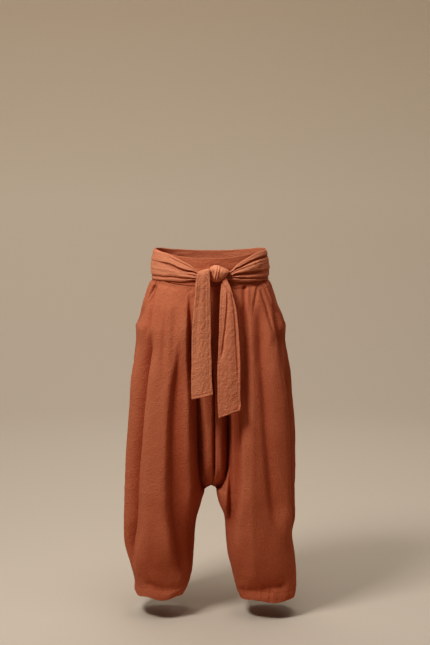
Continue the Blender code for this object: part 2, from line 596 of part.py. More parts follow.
def leg_grids(side):
    """Return the grids of one side's front and back panels, with normals shared at the seams."""
    rows = bands(ROW_BANDS)
    sign = SIGN[side]
    found = {}
    for face in ("front", "back"):
        points = panel_points(Face(side, face), rows, face == "front")
        turn = sign if face == "front" else -sign
        cells = cell_normals(points) * turn
        found[face] = (points, cells, vertex_normals(cells, points.shape))
    front_points, front_cells, front_normals = found["front"]
    back_points, back_cells, back_normals = found["back"]
    middle = rows <= CROTCH_DROP + TINY
    at_crotch = np.abs(rows - CROTCH_DROP) < TINY
    for normals in (front_normals, back_normals):
        normals[middle, 0, 0] = 0.0
        normals[at_crotch, 0] = (0.0, 0.0, -1.0)
    inseam = unit(front_normals[:, 0] + back_normals[:, 0])
    for normals in (front_normals, back_normals):
        normals[~middle, 0] = inseam[~middle]
    outseam = unit(front_normals[:, -1] + back_normals[:, -1])
    closed = rows > MOUTH_END
    front_normals[closed, -1] = outseam[closed]
    back_normals[closed, -1] = outseam[closed]
    return {
        "front": Grid(front_points, unit(front_normals)),
        "back": Grid(back_points, unit(back_normals)),
        "rows": rows,
    }


def wall_mesh(name, outer, inner, ring=False):
    """Build a closed wall between two grids of points with the same rows and columns."""
    rows, columns = outer.shape[:2]
    count = rows * columns
    faces = []
    last = columns if ring else columns - 1
    for i in range(rows - 1):
        for j in range(last):
            k = (j + 1) % columns
            a, b = i * columns + j, i * columns + k
            c, d = (i + 1) * columns + k, (i + 1) * columns + j
            faces.extend([(a, b, c), (a, c, d)])
            faces.extend([(count + c, count + b, count + a), (count + d, count + c, count + a)])
    for i in (0, rows - 1):
        for j in range(last):
            k = (j + 1) % columns
            a, b = i * columns + j, i * columns + k
            faces.append((a, count + a, count + b, b) if i == 0 else (b, count + b, count + a, a))
    if not ring:
        for j in (0, columns - 1):
            for i in range(rows - 1):
                a, d = i * columns + j, (i + 1) * columns + j
                faces.append((d, count + d, count + a, a) if j == 0 else (a, count + a, count + d, d))
    vertices = [tuple(point) for point in outer.reshape(-1, 3)]
    vertices += [tuple(point) for point in inner.reshape(-1, 3)]
    return mesh_object(name, vertices, faces)


def mesh_object(name, vertices, faces):
    """Link one mesh object whose faces point out."""
    mesh = bpy.data.meshes.new(name)
    mesh.from_pydata(vertices, [], faces)
    work = bmesh.new()
    work.from_mesh(mesh)
    bmesh.ops.recalc_face_normals(work, faces=work.faces)
    work.to_mesh(mesh)
    work.free()
    mesh.shade_smooth()
    mesh.set_sharp_from_angle(angle=np.radians(SHARP_DEGREES))
    thing = bpy.data.objects.new(name, mesh)
    bpy.context.collection.objects.link(thing)
    return thing


def cloth_material(name, colour):
    """Return a plain rough cloth."""
    material = bpy.data.materials.new(name)
    material.use_nodes = True
    shader = material.node_tree.nodes["Principled BSDF"]
    shader.inputs["Base Color"].default_value = (*colour, 1.0)
    shader.inputs["Roughness"].default_value = ROUGHNESS
    shader.inputs["Metallic"].default_value = 0.0
    return material


def add_panels(linen):
    """Add the four panels and the two pocket facings."""
    for side in SIDES:
        grids = leg_grids(side)
        for face in ("front", "back"):
            grid = grids[face]
            panel = wall_mesh(f"{side}_{face}_panel", grid.points, grid.moved_in(WALL))
            panel.data.materials.append(linen)
        add_facing(side, grids, linen)


def add_facing(side, grids, linen):
    """Add the pocket facing that closes the slanted mouth, seated under both panels."""
    use = grids["rows"] <= FACING_END
    front, back = grids["front"], grids["back"]
    surface = Face(side, "front")
    columns = []
    for j in range(FACING_UNDER_FRONT, -1, -1):
        columns.append((front.points[use, -1 - j], front.normals[use, -1 - j]))
    edge_points, edge_normals = columns[-1]
    seam_points, seam_normals = back.points[use, -1], back.normals[use, -1]
    for k in range(1, FACING_STEPS):
        part = k / FACING_STEPS
        points = []
        for level in grids["rows"][use]:
            run = surface.length(level) - mouth_width(level) * (1.0 - part)
            points.append(surface.point(run, level))
        normals = unit(edge_normals * (1.0 - part) + seam_normals * part)
        columns.append((np.array(points), normals))
    columns.append((seam_points, seam_normals))
    for j in range(1, FACING_UNDER_BACK + 1):
        columns.append((back.points[use, -1 - j], back.normals[use, -1 - j]))
    points = np.stack([pair[0] for pair in columns], axis=1)
    normals = np.stack([pair[1] for pair in columns], axis=1)
    grid = Grid(points, normals)
    facing = wall_mesh(
        f"{side}_pocket_facing", grid.moved_in(FACING_DEPTH), grid.moved_in(FACING_DEPTH + FACING_WALL)
    )
    facing.data.materials.append(linen)


def waist_stations(front_columns, back_columns, starts=None):
    """Return (side, face, share) round the waist, from the front middle by the left side."""
    stations = []
    starts = starts or {"right": 0.0, "left": 0.0}
    for face, side in (("front", "left"), ("back", "left"), ("back", "right"), ("front", "right")):
        steps = front_columns if face == "front" else back_columns
        first = starts[side] if face == "front" else 0.0
        shares = [first + (1.0 - first) * k / steps for k in range(steps + 1)]
        inwards = (face, side) in (("back", "left"), ("front", "right"))
        if inwards:
            shares = shares[::-1]
        if stations and stations[-1][0] == side or face == "back" and side == "right":
            shares = shares[1:]
        stations.extend((side, face, share) for share in shares)
    return stations


def outward_in_plan(points):
    """Return level outward normals of a loop or run of points seen from above."""
    ahead = np.roll(points, -1, axis=0) - np.roll(points, 1, axis=0)
    normals = np.stack([ahead[:, 1], -ahead[:, 0], np.zeros(len(points))], axis=1)
    return unit(normals)


def add_waistband(surfaces, linen):
    """Add the waistband, a shaped ring that the four panels hang from."""
    stations = waist_stations(BAND_FRONT_COLUMNS, BAND_BACK_COLUMNS)[:-1]
    outer = []
    for step in range(BAND_ROWS + 1):
        level = BAND_HEIGHT * step / BAND_ROWS
        ring = []
        for side, face, share in stations:
            surface = surfaces[side, face]
            ring.append(surface.point(share * surface.length(level), level, folded=False))
        outer.append(ring)
    outer = np.array(outer)
    normals = np.stack([outward_in_plan(level) for level in outer])
    band = wall_mesh("waistband", outer, outer - normals * BAND_WALL, ring=True)
    band.data.materials.append(linen)


def sash_edges(side, face, across):
    """Return the sash's top and bottom drop at a place round the waist."""
    if face == "back":
        reach = smooth_step((across - SASH_BACK_REACH) / SASH_BACK_EASE)
        side_top = SASH_EDGES[side][-1][1]
        side_bottom = SASH_EDGES[side][-1][2]
        top = SASH_BACK_TOP + BACK_DIP + (side_top - SASH_BACK_TOP - BACK_DIP) * reach
        bottom = SASH_BACK_BOTTOM + (side_bottom - SASH_BACK_BOTTOM) * reach
        return top, bottom
    places = [row[0] for row in SASH_EDGES[side]]
    top = smooth_through(places, [row[1] for row in SASH_EDGES[side]], across)
    bottom = smooth_through(places, [row[2] for row in SASH_EDGES[side]], across)
    return float(top), float(bottom)


def sash_stand(side, face, across, place):
    """Return how far the sash's outer face stands off the waistband."""
    puff = SASH_PUFF * np.sin(np.pi * np.clip(place, 0.0, 1.0)) ** PUFF_POWER
    near_knot = 1.0 - smooth_step(across / PLEAT_REACH) if face == "front" else 0.0
    grooves = 0.0
    for pleat in PLEATS:
        if pleat.side == side:
            strength = PLEAT_FAR_SHARE + (1.0 - PLEAT_FAR_SHARE) * near_knot
            away = (place - pleat.place) / pleat.half_width
            grooves += pleat.depth * strength * np.exp(-(away**2))
    return SASH_STAND + puff - np.minimum(grooves, puff * PLEAT_MOST)


def add_sash_wrap(surfaces, linen):
    """Add the stretch of the sash that runs from the knot round the back to the knot."""
    starts = {}
    for side in SIDES:
        surface = surfaces[side, "front"]
        starts[side] = SASH_START[side] / surface.length(SASH_START_LEVEL)
    stations = without_doubles(waist_stations(SASH_FRONT_COLUMNS, SASH_BACK_COLUMNS, starts))
    rows = []
    for step in range(SASH_ROWS + 1):
        place = step / SASH_ROWS
        level = []
        stands = []
        for side, face, share in stations:
            surface = surfaces[side, face]
            across = surface.plain(share * surface.length(0.0), 0.0)[0]
            top, bottom = sash_edges(side, face, across)
            below_edge = top + (bottom - top) * place - surface.top_edge(share)
            level.append(surface.point(share * surface.length(below_edge), below_edge, folded=False))
            stands.append(blended_stand(side, face, across, place, surface))
        rows.append((np.array(level), np.array(stands)))
    outer, inner = [], []
    for level, stands in rows:
        normals = run_normals(level)
        outer.append(level + normals * stands[:, None])
        inner.append(level + normals * (stands - SASH_WALL)[:, None])
    wrap = wall_mesh("sash_wrap", np.array(outer), np.array(inner))
    wrap.data.materials.append(linen)


def without_doubles(stations):
    """Return the stations of an open run, without one that comes twice in a row."""
    kept = []
    for station in stations:
        if not kept or station != kept[-1]:
            kept.append(station)
    return kept


def blended_stand(side, face, across, place, surface):
    """Return the sash's stand, eased from one side's pleats to the other's at the back."""
    own = sash_stand(side, face, across, place)
    if face == "front":
        return own
    other_side = "left" if side == "right" else "right"
    other = sash_stand(other_side, face, across, place)
    share = 0.5 * (1.0 - smooth_step(across / SASH_BLEND))
    return own * (1.0 - share) + other * share


def run_normals(points):
    """Return level outward normals along an open run of points."""
    ahead = np.gradient(points, axis=0)
    normals = np.stack([ahead[:, 1], -ahead[:, 0], np.zeros(len(points))], axis=1)
    return unit(normals)


def waist_front_y(surfaces, x, drop):
    """Return the y of the smooth front at x."""
    side = "right" if x < 0.0 else "left"
    surface = surfaces[side, "front"]
    runs = np.linspace(0.0, surface.length(drop) * WAIST_SEARCH, DENSE)
    across, y = surface.plain(runs, drop)
    return float(np.interp(abs(x), across, y))


def add_knot(surfaces, linen):
    """Add the knot: a pleated cushion form with its back against the sash."""
    points = []
    for ring in range(KNOT_RINGS + 1):
        lift = np.pi * ring / KNOT_RINGS
        radius = np.sin(lift) ** KNOT_POWER
        depth = np.cos(lift)
        for spoke in range(KNOT_SPOKES):
            angle = 2.0 * np.pi * spoke / KNOT_SPOKES
            points.append(knot_point(surfaces, radius, angle, depth))
    vertices = [tuple(point) for point in points]
    faces = []
    for ring in range(1, KNOT_RINGS - 1):
        for spoke in range(KNOT_SPOKES):
            a = ring * KNOT_SPOKES + spoke
            b = ring * KNOT_SPOKES + (spoke + 1) % KNOT_SPOKES
            faces.append((a, b, b + KNOT_SPOKES, a + KNOT_SPOKES))
    front, back = 0, KNOT_RINGS * KNOT_SPOKES
    for spoke in range(KNOT_SPOKES):
        a = KNOT_SPOKES + spoke
        b = KNOT_SPOKES + (spoke + 1) % KNOT_SPOKES
        faces.append((front, b, a))
        a = (KNOT_RINGS - 1) * KNOT_SPOKES + spoke
        b = (KNOT_RINGS - 1) * KNOT_SPOKES + (spoke + 1) % KNOT_SPOKES
        faces.append((back, a, b))
    used = sorted({index for face in faces for index in face})
    renumber = {old: new for new, old in enumerate(used)}
    vertices = [vertices[index] for index in used]
    faces = [tuple(renumber[index] for index in face) for face in faces]
    knot = mesh_object("sash_knot", vertices, faces)
    knot.data.materials.append(linen)


def knot_point(surfaces, radius, angle, depth):
    """Return one point of the knot."""
    wide = np.sign(np.cos(angle)) * abs(np.cos(angle)) ** KNOT_POWER
    tall = np.sign(np.sin(angle)) * abs(np.sin(angle)) ** KNOT_POWER
    x = KNOT_CENTRE[0] + KNOT_HALF[0] * radius * wide
    drop = KNOT_CENTRE[1] - KNOT_HALF[1] * radius * tall
    seat = waist_front_y(surfaces, x, drop) - KNOT_SEAT
    if depth <= 0.0:
        return (x, seat, -drop)
    slant = (wide * KNOT_SLANT + tall) * radius
    pleats = KNOT_PLEAT_DEPTH * np.cos(slant * np.pi * KNOT_PLEATS)
    return (x, seat - (KNOT_BULGE + pleats) * depth, -drop)


def tail_centre(rows, t):
    """Return drop, inner x, outer x and y along a tail, t from 0 at the knot to 1 at the end."""
    path = np.array([[row.drop, row.y] for row in rows])
    run = np.concatenate([[0.0], np.cumsum(np.linalg.norm(np.diff(path, axis=0), axis=1))])
    at = t * run[-1]
    return [float(smooth_through(run, [getattr(row, name) for row in rows], at))
            for name in ("drop", "x0", "x1", "y")]


def tail_fold_depth(side, drop, share):
    """Return how far a hanging end's folds move its face out."""
    total = 0.0
    for fold in TAIL_FOLDS:
        if fold.side == side:
            drops = [pair[0] for pair in fold.path]
            centre = smooth_through(drops, [pair[1] for pair in fold.path], drop)
            grown = smooth_step((drop - drops[0]) / fold.fade) * smooth_step((drops[-1] - drop) / fold.fade)
            total += fold.depth * grown * np.exp(-(((share - centre) / fold.half_width) ** 2))
    return total


def add_tail(side, rows, linen):
    """Add one hanging end of the sash, a gently bowed and folded strip with a slanted end."""
    outer = []
    end_drop = rows[-1].drop
    for i in range(TAIL_STEPS + 1):
        drop, x0, x1, y = tail_centre(rows, (i / TAIL_STEPS) ** TAIL_CROWDING)
        at_end = smooth_step((drop - end_drop + TAIL_SLANT_ZONE) / TAIL_SLANT_ZONE)
        level = []
        for j in range(TAIL_COLUMNS + 1):
            share = j / TAIL_COLUMNS
            bow = TAIL_BOW * (1.0 - (2.0 * share - 1.0) ** 2) + tail_fold_depth(side, drop, share)
            lifted = drop + TAIL_SLANT[side] * (0.5 - share) * at_end
            level.append((x0 + (x1 - x0) * share, y - bow, -lifted))
        outer.append(level)
    outer = np.array(outer)
    cells = cell_normals(outer)
    normals = vertex_normals(cells, outer.shape)
    tail = wall_mesh(f"sash_tail_{side}", outer, outer - normals * SASH_WALL)
    tail.data.materials.append(linen)


def clear_scene():
    """Remove whatever the file opened with."""
    for thing in list(bpy.data.objects):
        bpy.data.objects.remove(thing, do_unlink=True)


def main():
    """Build every piece of the trousers."""
    clear_scene()
    linen = cloth_material("linen", LINEN)
    sash_linen = cloth_material("sash_linen", SASH_LINEN)
    surfaces = {(side, face): Face(side, face) for side in SIDES for face in ("front", "back")}
    add_panels(linen)
    add_waistband(surfaces, linen)
    add_sash_wrap(surfaces, sash_linen)
    add_knot(surfaces, sash_linen)
    add_tail("right", TAIL_RIGHT, sash_linen)
    add_tail("left", TAIL_LEFT, sash_linen)


main()
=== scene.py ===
"""Studio scene of linen harem trousers with a tied cloth sash.

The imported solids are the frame. Every visible piece is a thin sheet of cloth laid over its own
solid, with the creases, hems, seams and stitching that the solids leave out. Metres, +Z up, the
wearer faces -Y, and a drop is how far a point lies below the origin at the waist.
"""

from __future__ import annotations

import logging
import math
from collections import namedtuple
from collections.abc import Sequence
from dataclasses import dataclass, field
from enum import Enum

import bpy
import numpy as np
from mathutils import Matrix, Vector


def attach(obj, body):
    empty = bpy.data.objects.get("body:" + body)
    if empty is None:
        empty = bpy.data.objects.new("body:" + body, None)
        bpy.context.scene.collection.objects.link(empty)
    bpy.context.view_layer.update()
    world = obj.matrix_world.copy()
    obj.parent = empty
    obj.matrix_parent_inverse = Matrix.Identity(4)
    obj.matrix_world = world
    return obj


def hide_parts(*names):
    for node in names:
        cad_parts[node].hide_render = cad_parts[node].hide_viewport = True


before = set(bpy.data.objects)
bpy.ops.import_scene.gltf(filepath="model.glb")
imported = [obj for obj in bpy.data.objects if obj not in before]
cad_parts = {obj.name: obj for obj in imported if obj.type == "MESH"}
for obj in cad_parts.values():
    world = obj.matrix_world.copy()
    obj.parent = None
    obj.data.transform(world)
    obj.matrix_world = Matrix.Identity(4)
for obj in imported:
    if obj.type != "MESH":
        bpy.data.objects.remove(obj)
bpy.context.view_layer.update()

LOG = logging.getLogger("harem_trousers")


class Side(Enum):
    """The wearer's side that a piece is on, the right at the left of the image."""

    RIGHT = "right"
    LEFT = "left"

    @property
    def sign(self) -> float:
        """Return the sign of x on this side."""
        return -1.0 if self is Side.RIGHT else 1.0

    @property
    def other(self) -> Side:
        """Return the other side."""
        return Side.LEFT if self is Side.RIGHT else Side.RIGHT


class Face(Enum):
    """The face of the trousers that a panel is on."""

    FRONT = "front"
    BACK = "back"

    @property
    def outward(self) -> float:
        """Return the sign of y that points out of this face."""
        return -1.0 if self is Face.FRONT else 1.0


class Held(Enum):
    """How a sheet of cloth is held."""

    HUNG = "hung"
    GATHERED = "gathered"
    FOLDED = "folded"
    STRETCHED = "stretched"


Array = np.ndarray
Key = tuple[Side, Face]
Curve = tuple[tuple[float, float], ...]

# The form of the trousers, as the solids have it. One row for each level below the waistband's
# top edge; across is the distance from the middle plane.
SECTION_COLUMNS = (
    "drop right_out left_out right_in left_in front front_seam front_in back back_seam back_in "
    "peak right_step left_step"
)
SECTION_ROWS = (
    (0.0, 0.155, 0.149, 0.0, 0.0, -0.099, -0.099, -0.099, 0.098, 0.098, 0.098, 0.0, 0.0, 0.0),
    (0.045, 0.158, 0.153, 0.0, 0.0, -0.102, -0.102, -0.102, 0.101, 0.101, 0.101, 0.0, 0.0, 0.0),
    (0.086, 0.161, 0.1565, 0.0, 0.0, -0.105, -0.105, -0.105, 0.104, 0.104, 0.104, 0.02, 0.0, 0.0),
    (0.098, 0.171, 0.166, 0.01, 0.01, -0.107, -0.106, -0.106, 0.107, 0.106, 0.106, 0.06, 0.0, 0.0),
    (0.124, 0.181, 0.1755, 0.024, 0.022, -0.11, -0.107, -0.107, 0.113, 0.111, 0.111, 0.12, 0.0, 0.0),
    (0.155, 0.191, 0.185, 0.034, 0.032, -0.114, -0.108, -0.108, 0.12, 0.116, 0.116, 0.18, 0.0, 0.0),
    (0.191, 0.1995, 0.2, 0.04, 0.037, -0.117, -0.107, -0.106, 0.127, 0.12, 0.119, 0.24, 0.0, 0.0),
    (0.224, 0.2105, 0.209, 0.042, 0.039, -0.119, -0.105, -0.102, 0.131, 0.122, 0.119, 0.28, 0.0, 0.001),
    (0.25, 0.21, 0.2075, 0.043, 0.04, -0.12, -0.104, -0.098, 0.134, 0.122, 0.118, 0.31, 0.001, 0.004),
    (0.3, 0.2155, 0.2155, 0.043, 0.042, -0.122, -0.1, -0.088, 0.137, 0.12, 0.112, 0.34, 0.003, 0.012),
    (0.35, 0.222, 0.225, 0.042, 0.044, -0.124, -0.095, -0.077, 0.138, 0.116, 0.104, 0.36, 0.006, 0.019),
    (0.441, 0.2315, 0.237, 0.04, 0.047, -0.126, -0.086, -0.061, 0.138, 0.107, 0.09, 0.38, 0.01, 0.028),
    (0.533, 0.2385, 0.2435, 0.039, 0.05, -0.126, -0.079, -0.051, 0.135, 0.097, 0.077, 0.4, 0.012, 0.032),
    (0.6, 0.2425, 0.2445, 0.037, 0.049, -0.125, -0.07, -0.044, 0.132, 0.085, 0.065, 0.4, 0.012, 0.03),
    (0.64, 0.244, 0.2445, 0.034, 0.043, -0.124, -0.054, -0.036, 0.13, 0.064, 0.05, 0.41, 0.011, 0.029),
    (0.662, 0.2445, 0.2443, 0.03, 0.034, -0.124, -0.03, -0.022, 0.129, 0.037, 0.03, 0.42, 0.011, 0.028),
    (0.675, 0.245, 0.244, 0.025, 0.026, -0.124, 0.0, -0.007, 0.128, 0.0, 0.008, 0.43, 0.01, 0.027),
    (0.684, 0.245, 0.2435, 0.019, 0.016, -0.124, 0.0, 0.0, 0.127, 0.0, 0.0, 0.43, 0.01, 0.026),
    (0.712, 0.245, 0.242, 0.026, 0.02, -0.123, 0.0, 0.0, 0.125, 0.0, 0.0, 0.43, 0.009, 0.023),
    (0.745, 0.245, 0.2405, 0.035, 0.033, -0.122, 0.0, 0.0, 0.122, 0.0, 0.0, 0.43, 0.008, 0.017),
    (0.764, 0.2445, 0.2395, 0.041, 0.039, -0.121, 0.0, 0.0, 0.12, 0.0, 0.0, 0.43, 0.007, 0.013),
    (0.811, 0.2425, 0.232, 0.047, 0.042, -0.119, 0.0, 0.0, 0.116, 0.0, 0.0, 0.43, 0.005, 0.001),
    (0.857, 0.2385, 0.2355, 0.05, 0.046, -0.115, 0.0, 0.0, 0.111, 0.0, 0.0, 0.44, 0.003, 0.0),
    (0.904, 0.229, 0.2405, 0.053, 0.056, -0.106, 0.0, 0.0, 0.102, 0.0, 0.0, 0.46, 0.001, 0.0),
    (0.935, 0.221, 0.2415, 0.059, 0.064, -0.099, 0.0, 0.0, 0.094, 0.0, 0.0, 0.48, 0.0, 0.0),
    (0.955, 0.218, 0.2405, 0.066, 0.07, -0.098, 0.0, 0.0, 0.087, 0.0, 0.0, 0.49, 0.0, 0.0),
    (0.975, 0.218, 0.2375, 0.077, 0.08, -0.098, 0.0, 0.0, 0.082, 0.0, 0.0, 0.5, 0.0, 0.0),
    (1.0, 0.215, 0.229, 0.089, 0.092, -0.093, 0.0, 0.0, 0.076, 0.0, 0.0, 0.5, 0.0, 0.0),
)
Section = {name: np.array(column) for name, column in zip(SECTION_COLUMNS.split(), zip(*SECTION_ROWS))}

# Folds of each panel. A path holds (level, across) pairs, across from the middle plane; inner and
# outer are the widths on either side of it, grow and die the lengths over which it begins and ends.
Fold = namedtuple("Fold", "path inner outer depth grow die")
FOLDS = {
    (Side.RIGHT, Face.FRONT): (
        # The pinched middle seam, the soft lobe beside it
        Fold(((0.2, 0.0), (0.66, 0.0)), 0.0045, 0.0045, -0.011, 0.2, 0.06),
        Fold(((0.24, 0.03), (0.36, 0.03), (0.42, 0.025), (0.53, 0.0165), (0.61, 0.017), (0.68, 0.014)),
             0.01, 0.011, 0.01, 0.2, 0.08),
        # The deep valley between the lobe and the leg column
        Fold(((0.14, 0.052), (0.28, 0.048), (0.42, 0.046), (0.53, 0.044), (0.63, 0.041), (0.75, 0.038)),
             0.01, 0.0055, -0.012, 0.3, 0.12),
        # The inner edge of the leg column
        Fold(((0.082, 0.061), (0.12, 0.058), (0.27, 0.0565), (0.37, 0.054)),
             0.006, 0.0045, -0.013, 0.12, 0.08),
        Fold(((0.12, 0.067), (0.27, 0.069), (0.37, 0.066), (0.44, 0.063), (0.53, 0.06), (0.63, 0.057),
              (0.86, 0.056)), 0.008, 0.02, 0.009, 0.12, 0.12),
        # The broad valley with the crease on its outer side
        Fold(((0.21, 0.08), (0.3, 0.086), (0.41, 0.1), (0.52, 0.105), (0.63, 0.106), (0.74, 0.1035),
              (0.86, 0.088), (0.94, 0.08)), 0.035, 0.0115, -0.017, 0.16, 0.1),
        Fold(((0.22, 0.096), (0.37, 0.11), (0.49, 0.124), (0.6, 0.129), (0.69, 0.13), (0.75, 0.126),
              (0.82, 0.118), (0.93, 0.094)), 0.01, 0.026, 0.005, 0.2, 0.12),
        # The leg's lower part turns back towards its inner edge
        Fold(((0.5, 0.058), (0.74, 0.062), (0.84, 0.072), (0.97, 0.09)), 0.03, 0.054, -0.021, 0.3, 0.1),
        Fold(((0.72, 0.112), (0.8, 0.11), (0.87, 0.1), (0.92, 0.086), (0.985, 0.068)),
             0.008, 0.032, 0.011, 0.12, 0.03),
        # The outer valley and ridge, and the short valleys below the waistband
        Fold(((0.25, 0.156), (0.34, 0.163), (0.41, 0.17), (0.52, 0.179), (0.635, 0.183), (0.75, 0.183),
              (0.87, 0.201), (0.95, 0.203)), 0.02, 0.01, 0.006, 0.12, 0.08),
        Fold(((0.11, 0.128), (0.22, 0.128), (0.3, 0.132), (0.4, 0.134)), 0.009, 0.007, -0.004, 0.1, 0.12),
        Fold(((0.1, 0.098), (0.22, 0.1), (0.27, 0.104), (0.36, 0.11)), 0.008, 0.008, -0.003, 0.1, 0.1),
        Fold(((0.1, 0.142), (0.2, 0.148), (0.26, 0.15)), 0.008, 0.008, -0.0025, 0.08, 0.06),
        # The crinkled seam beside the pocket mouth
        Fold(((0.086, 0.15), (0.104, 0.158), (0.137, 0.165), (0.17, 0.17), (0.209, 0.176), (0.25, 0.187)),
             0.006, 0.0048, -0.011, 0.02, 0.05),
    ),
    (Side.RIGHT, Face.BACK): (
        # The pinched seat seam, the valley beside it, the leg's long folds and the short gathers
        Fold(((0.28, 0.0), (0.66, 0.0)), 0.007, 0.007, -0.009, 0.2, 0.06),
        Fold(((0.22, 0.046), (0.45, 0.043), (0.66, 0.04), (0.76, 0.038)), 0.013, 0.008, -0.009, 0.34, 0.16),
        Fold(((0.14, 0.082), (0.36, 0.094), (0.58, 0.102), (0.88, 0.094)),
             0.02, 0.015, -0.0165, 0.18, 0.14),
        Fold(((0.2, 0.14), (0.45, 0.158), (0.68, 0.168), (0.9, 0.158)), 0.016, 0.015, -0.013, 0.16, 0.14),
        Fold(((0.085, 0.045), (0.22, 0.052), (0.34, 0.066)), 0.007, 0.005, -0.007, 0.03, 0.14),
        Fold(((0.085, 0.106), (0.16, 0.118), (0.24, 0.124), (0.34, 0.12)),
             0.008, 0.005, -0.007, 0.04, 0.12),
        Fold(((0.085, 0.08), (0.15, 0.078), (0.24, 0.082)), 0.006, 0.004, -0.005, 0.02, 0.09),
    ),
    (Side.LEFT, Face.FRONT): (
        # The pinched middle seam, the soft lobe beside it
        Fold(((0.2, 0.0), (0.66, 0.0)), 0.005, 0.005, -0.013, 0.2, 0.06),
        Fold(((0.24, 0.018), (0.4, 0.022), (0.48, 0.029), (0.61, 0.029), (0.69, 0.024)),
             0.017, 0.01, 0.016, 0.2, 0.08),
        Fold(((0.38, 0.052), (0.5, 0.054), (0.62, 0.055), (0.72, 0.055), (0.81, 0.052)),
             0.008, 0.0036, -0.026, 0.12, 0.13),
        # The deep valley between the lobe and the leg column
        Fold(((0.14, 0.05), (0.28, 0.058), (0.42, 0.069), (0.53, 0.0765), (0.62, 0.077), (0.7, 0.071),
              (0.76, 0.06), (0.84, 0.056)), 0.021, 0.006, -0.016, 0.3, 0.1),
        # The inner edge of the leg column
        Fold(((0.12, 0.077), (0.3, 0.082), (0.41, 0.09), (0.63, 0.093), (0.7, 0.087), (0.82, 0.073),
              (0.9, 0.071)), 0.008, 0.026, 0.006, 0.16, 0.12),
        # The shaded valley, the leg's face, its outer ridge and the low ridge that swings inwards
        Fold(((0.12, 0.086), (0.2, 0.088), (0.3, 0.09), (0.42, 0.09), (0.54, 0.088)),
             0.01, 0.018, -0.013, 0.08, 0.16),
        Fold(((0.14, 0.098), (0.3, 0.112), (0.52, 0.114), (0.74, 0.114), (0.86, 0.117)),
             0.013, 0.01, 0.003, 0.1, 0.1),
        Fold(((0.11, 0.116), (0.19, 0.134), (0.3, 0.14), (0.41, 0.148), (0.52, 0.154), (0.63, 0.165),
              (0.75, 0.18), (0.84, 0.196)), 0.014, 0.016, -0.0095, 0.1, 0.14),
        Fold(((0.16, 0.154), (0.19, 0.162), (0.3, 0.178), (0.41, 0.195), (0.52, 0.203), (0.635, 0.208),
              (0.75, 0.211), (0.84, 0.214)), 0.024, 0.012, 0.012, 0.12, 0.12),
        Fold(((0.58, 0.104), (0.74, 0.117), (0.83, 0.121), (0.89, 0.118), (0.95, 0.104)),
             0.022, 0.022, 0.005, 0.16, 0.04),
        Fold(((0.15, 0.178), (0.19, 0.184), (0.25, 0.19), (0.31, 0.193), (0.38, 0.206)),
             0.01, 0.007, -0.008, 0.05, 0.1),
        # The short gathers below the sash
        Fold(((0.08, 0.094), (0.13, 0.094), (0.24, 0.09)), 0.008, 0.004, -0.007, 0.01, 0.1),
        Fold(((0.08, 0.131), (0.117, 0.124), (0.155, 0.118), (0.2, 0.112)),
             0.004, 0.006, -0.004, 0.02, 0.08),
        Fold(((0.08, 0.132), (0.1, 0.138), (0.156, 0.156), (0.235, 0.171), (0.27, 0.175)),
             0.006, 0.0035, -0.006, 0.05, 0.09),
        Fold(((0.085, 0.16), (0.101, 0.166), (0.15, 0.175), (0.215, 0.184), (0.27, 0.19)),
             0.005, 0.0035, -0.0035, 0.03, 0.08),
        Fold(((0.082, 0.112), (0.12, 0.109), (0.2, 0.102)), 0.005, 0.005, -0.0015, 0.02, 0.08),
    ),
    (Side.LEFT, Face.BACK): (
        # The pinched seat seam, the valley beside it, the leg's long folds and the short gathers
        Fold(((0.28, 0.0), (0.66, 0.0)), 0.007, 0.007, -0.009, 0.2, 0.06),
        Fold(((0.22, 0.043), (0.45, 0.047), (0.66, 0.049), (0.77, 0.05)), 0.012, 0.008, -0.009, 0.34, 0.18),
        Fold(((0.18, 0.09), (0.4, 0.1), (0.62, 0.112), (0.9, 0.106)), 0.016, 0.02, -0.017, 0.18, 0.14),
        Fold(((0.16, 0.132), (0.42, 0.156), (0.66, 0.172), (0.88, 0.168)),
             0.018, 0.014, -0.0135, 0.16, 0.14),
        Fold(((0.085, 0.058), (0.2, 0.06), (0.3, 0.054)), 0.005, 0.006, -0.006, 0.03, 0.12),
        Fold(((0.085, 0.124), (0.22, 0.112), (0.36, 0.122)), 0.005, 0.008, -0.007, 0.04, 0.14),
        Fold(((0.085, 0.09), (0.14, 0.093), (0.21, 0.09)), 0.004, 0.006, -0.005, 0.02, 0.08),
    ),
}
# Folds of the outer sides, with paths of (level, distance from the outseam) pairs
SIDE_FOLDS = {
    (Side.RIGHT, Face.FRONT): (
        Fold(((0.2, 0.1), (0.25, 0.108), (0.302, 0.111), (0.413, 0.106), (0.527, 0.099), (0.641, 0.089),
              (0.755, 0.087), (0.848, 0.063), (0.91, 0.056)), 0.019, 0.011, -0.03, 0.12, 0.09),
        Fold(((0.24, 0.056), (0.41, 0.054), (0.64, 0.044), (0.755, 0.044), (0.86, 0.032), (0.92, 0.03)),
             0.02, 0.018, 0.014, 0.14, 0.1),
    ),
    (Side.RIGHT, Face.BACK): (
        Fold(((0.22, 0.058), (0.45, 0.066), (0.7, 0.06), (0.9, 0.05)), 0.014, 0.02, -0.011, 0.16, 0.12),
    ),
    (Side.LEFT, Face.FRONT): (
        Fold(((0.32, 0.06), (0.42, 0.052), (0.55, 0.048), (0.7, 0.046), (0.84, 0.046)),
             0.016, 0.016, 0.005, 0.12, 0.12),
    ),
    (Side.LEFT, Face.BACK): (
        Fold(((0.26, 0.064), (0.5, 0.072), (0.74, 0.064), (0.88, 0.054)), 0.018, 0.014, -0.012, 0.16, 0.12),
    ),
}
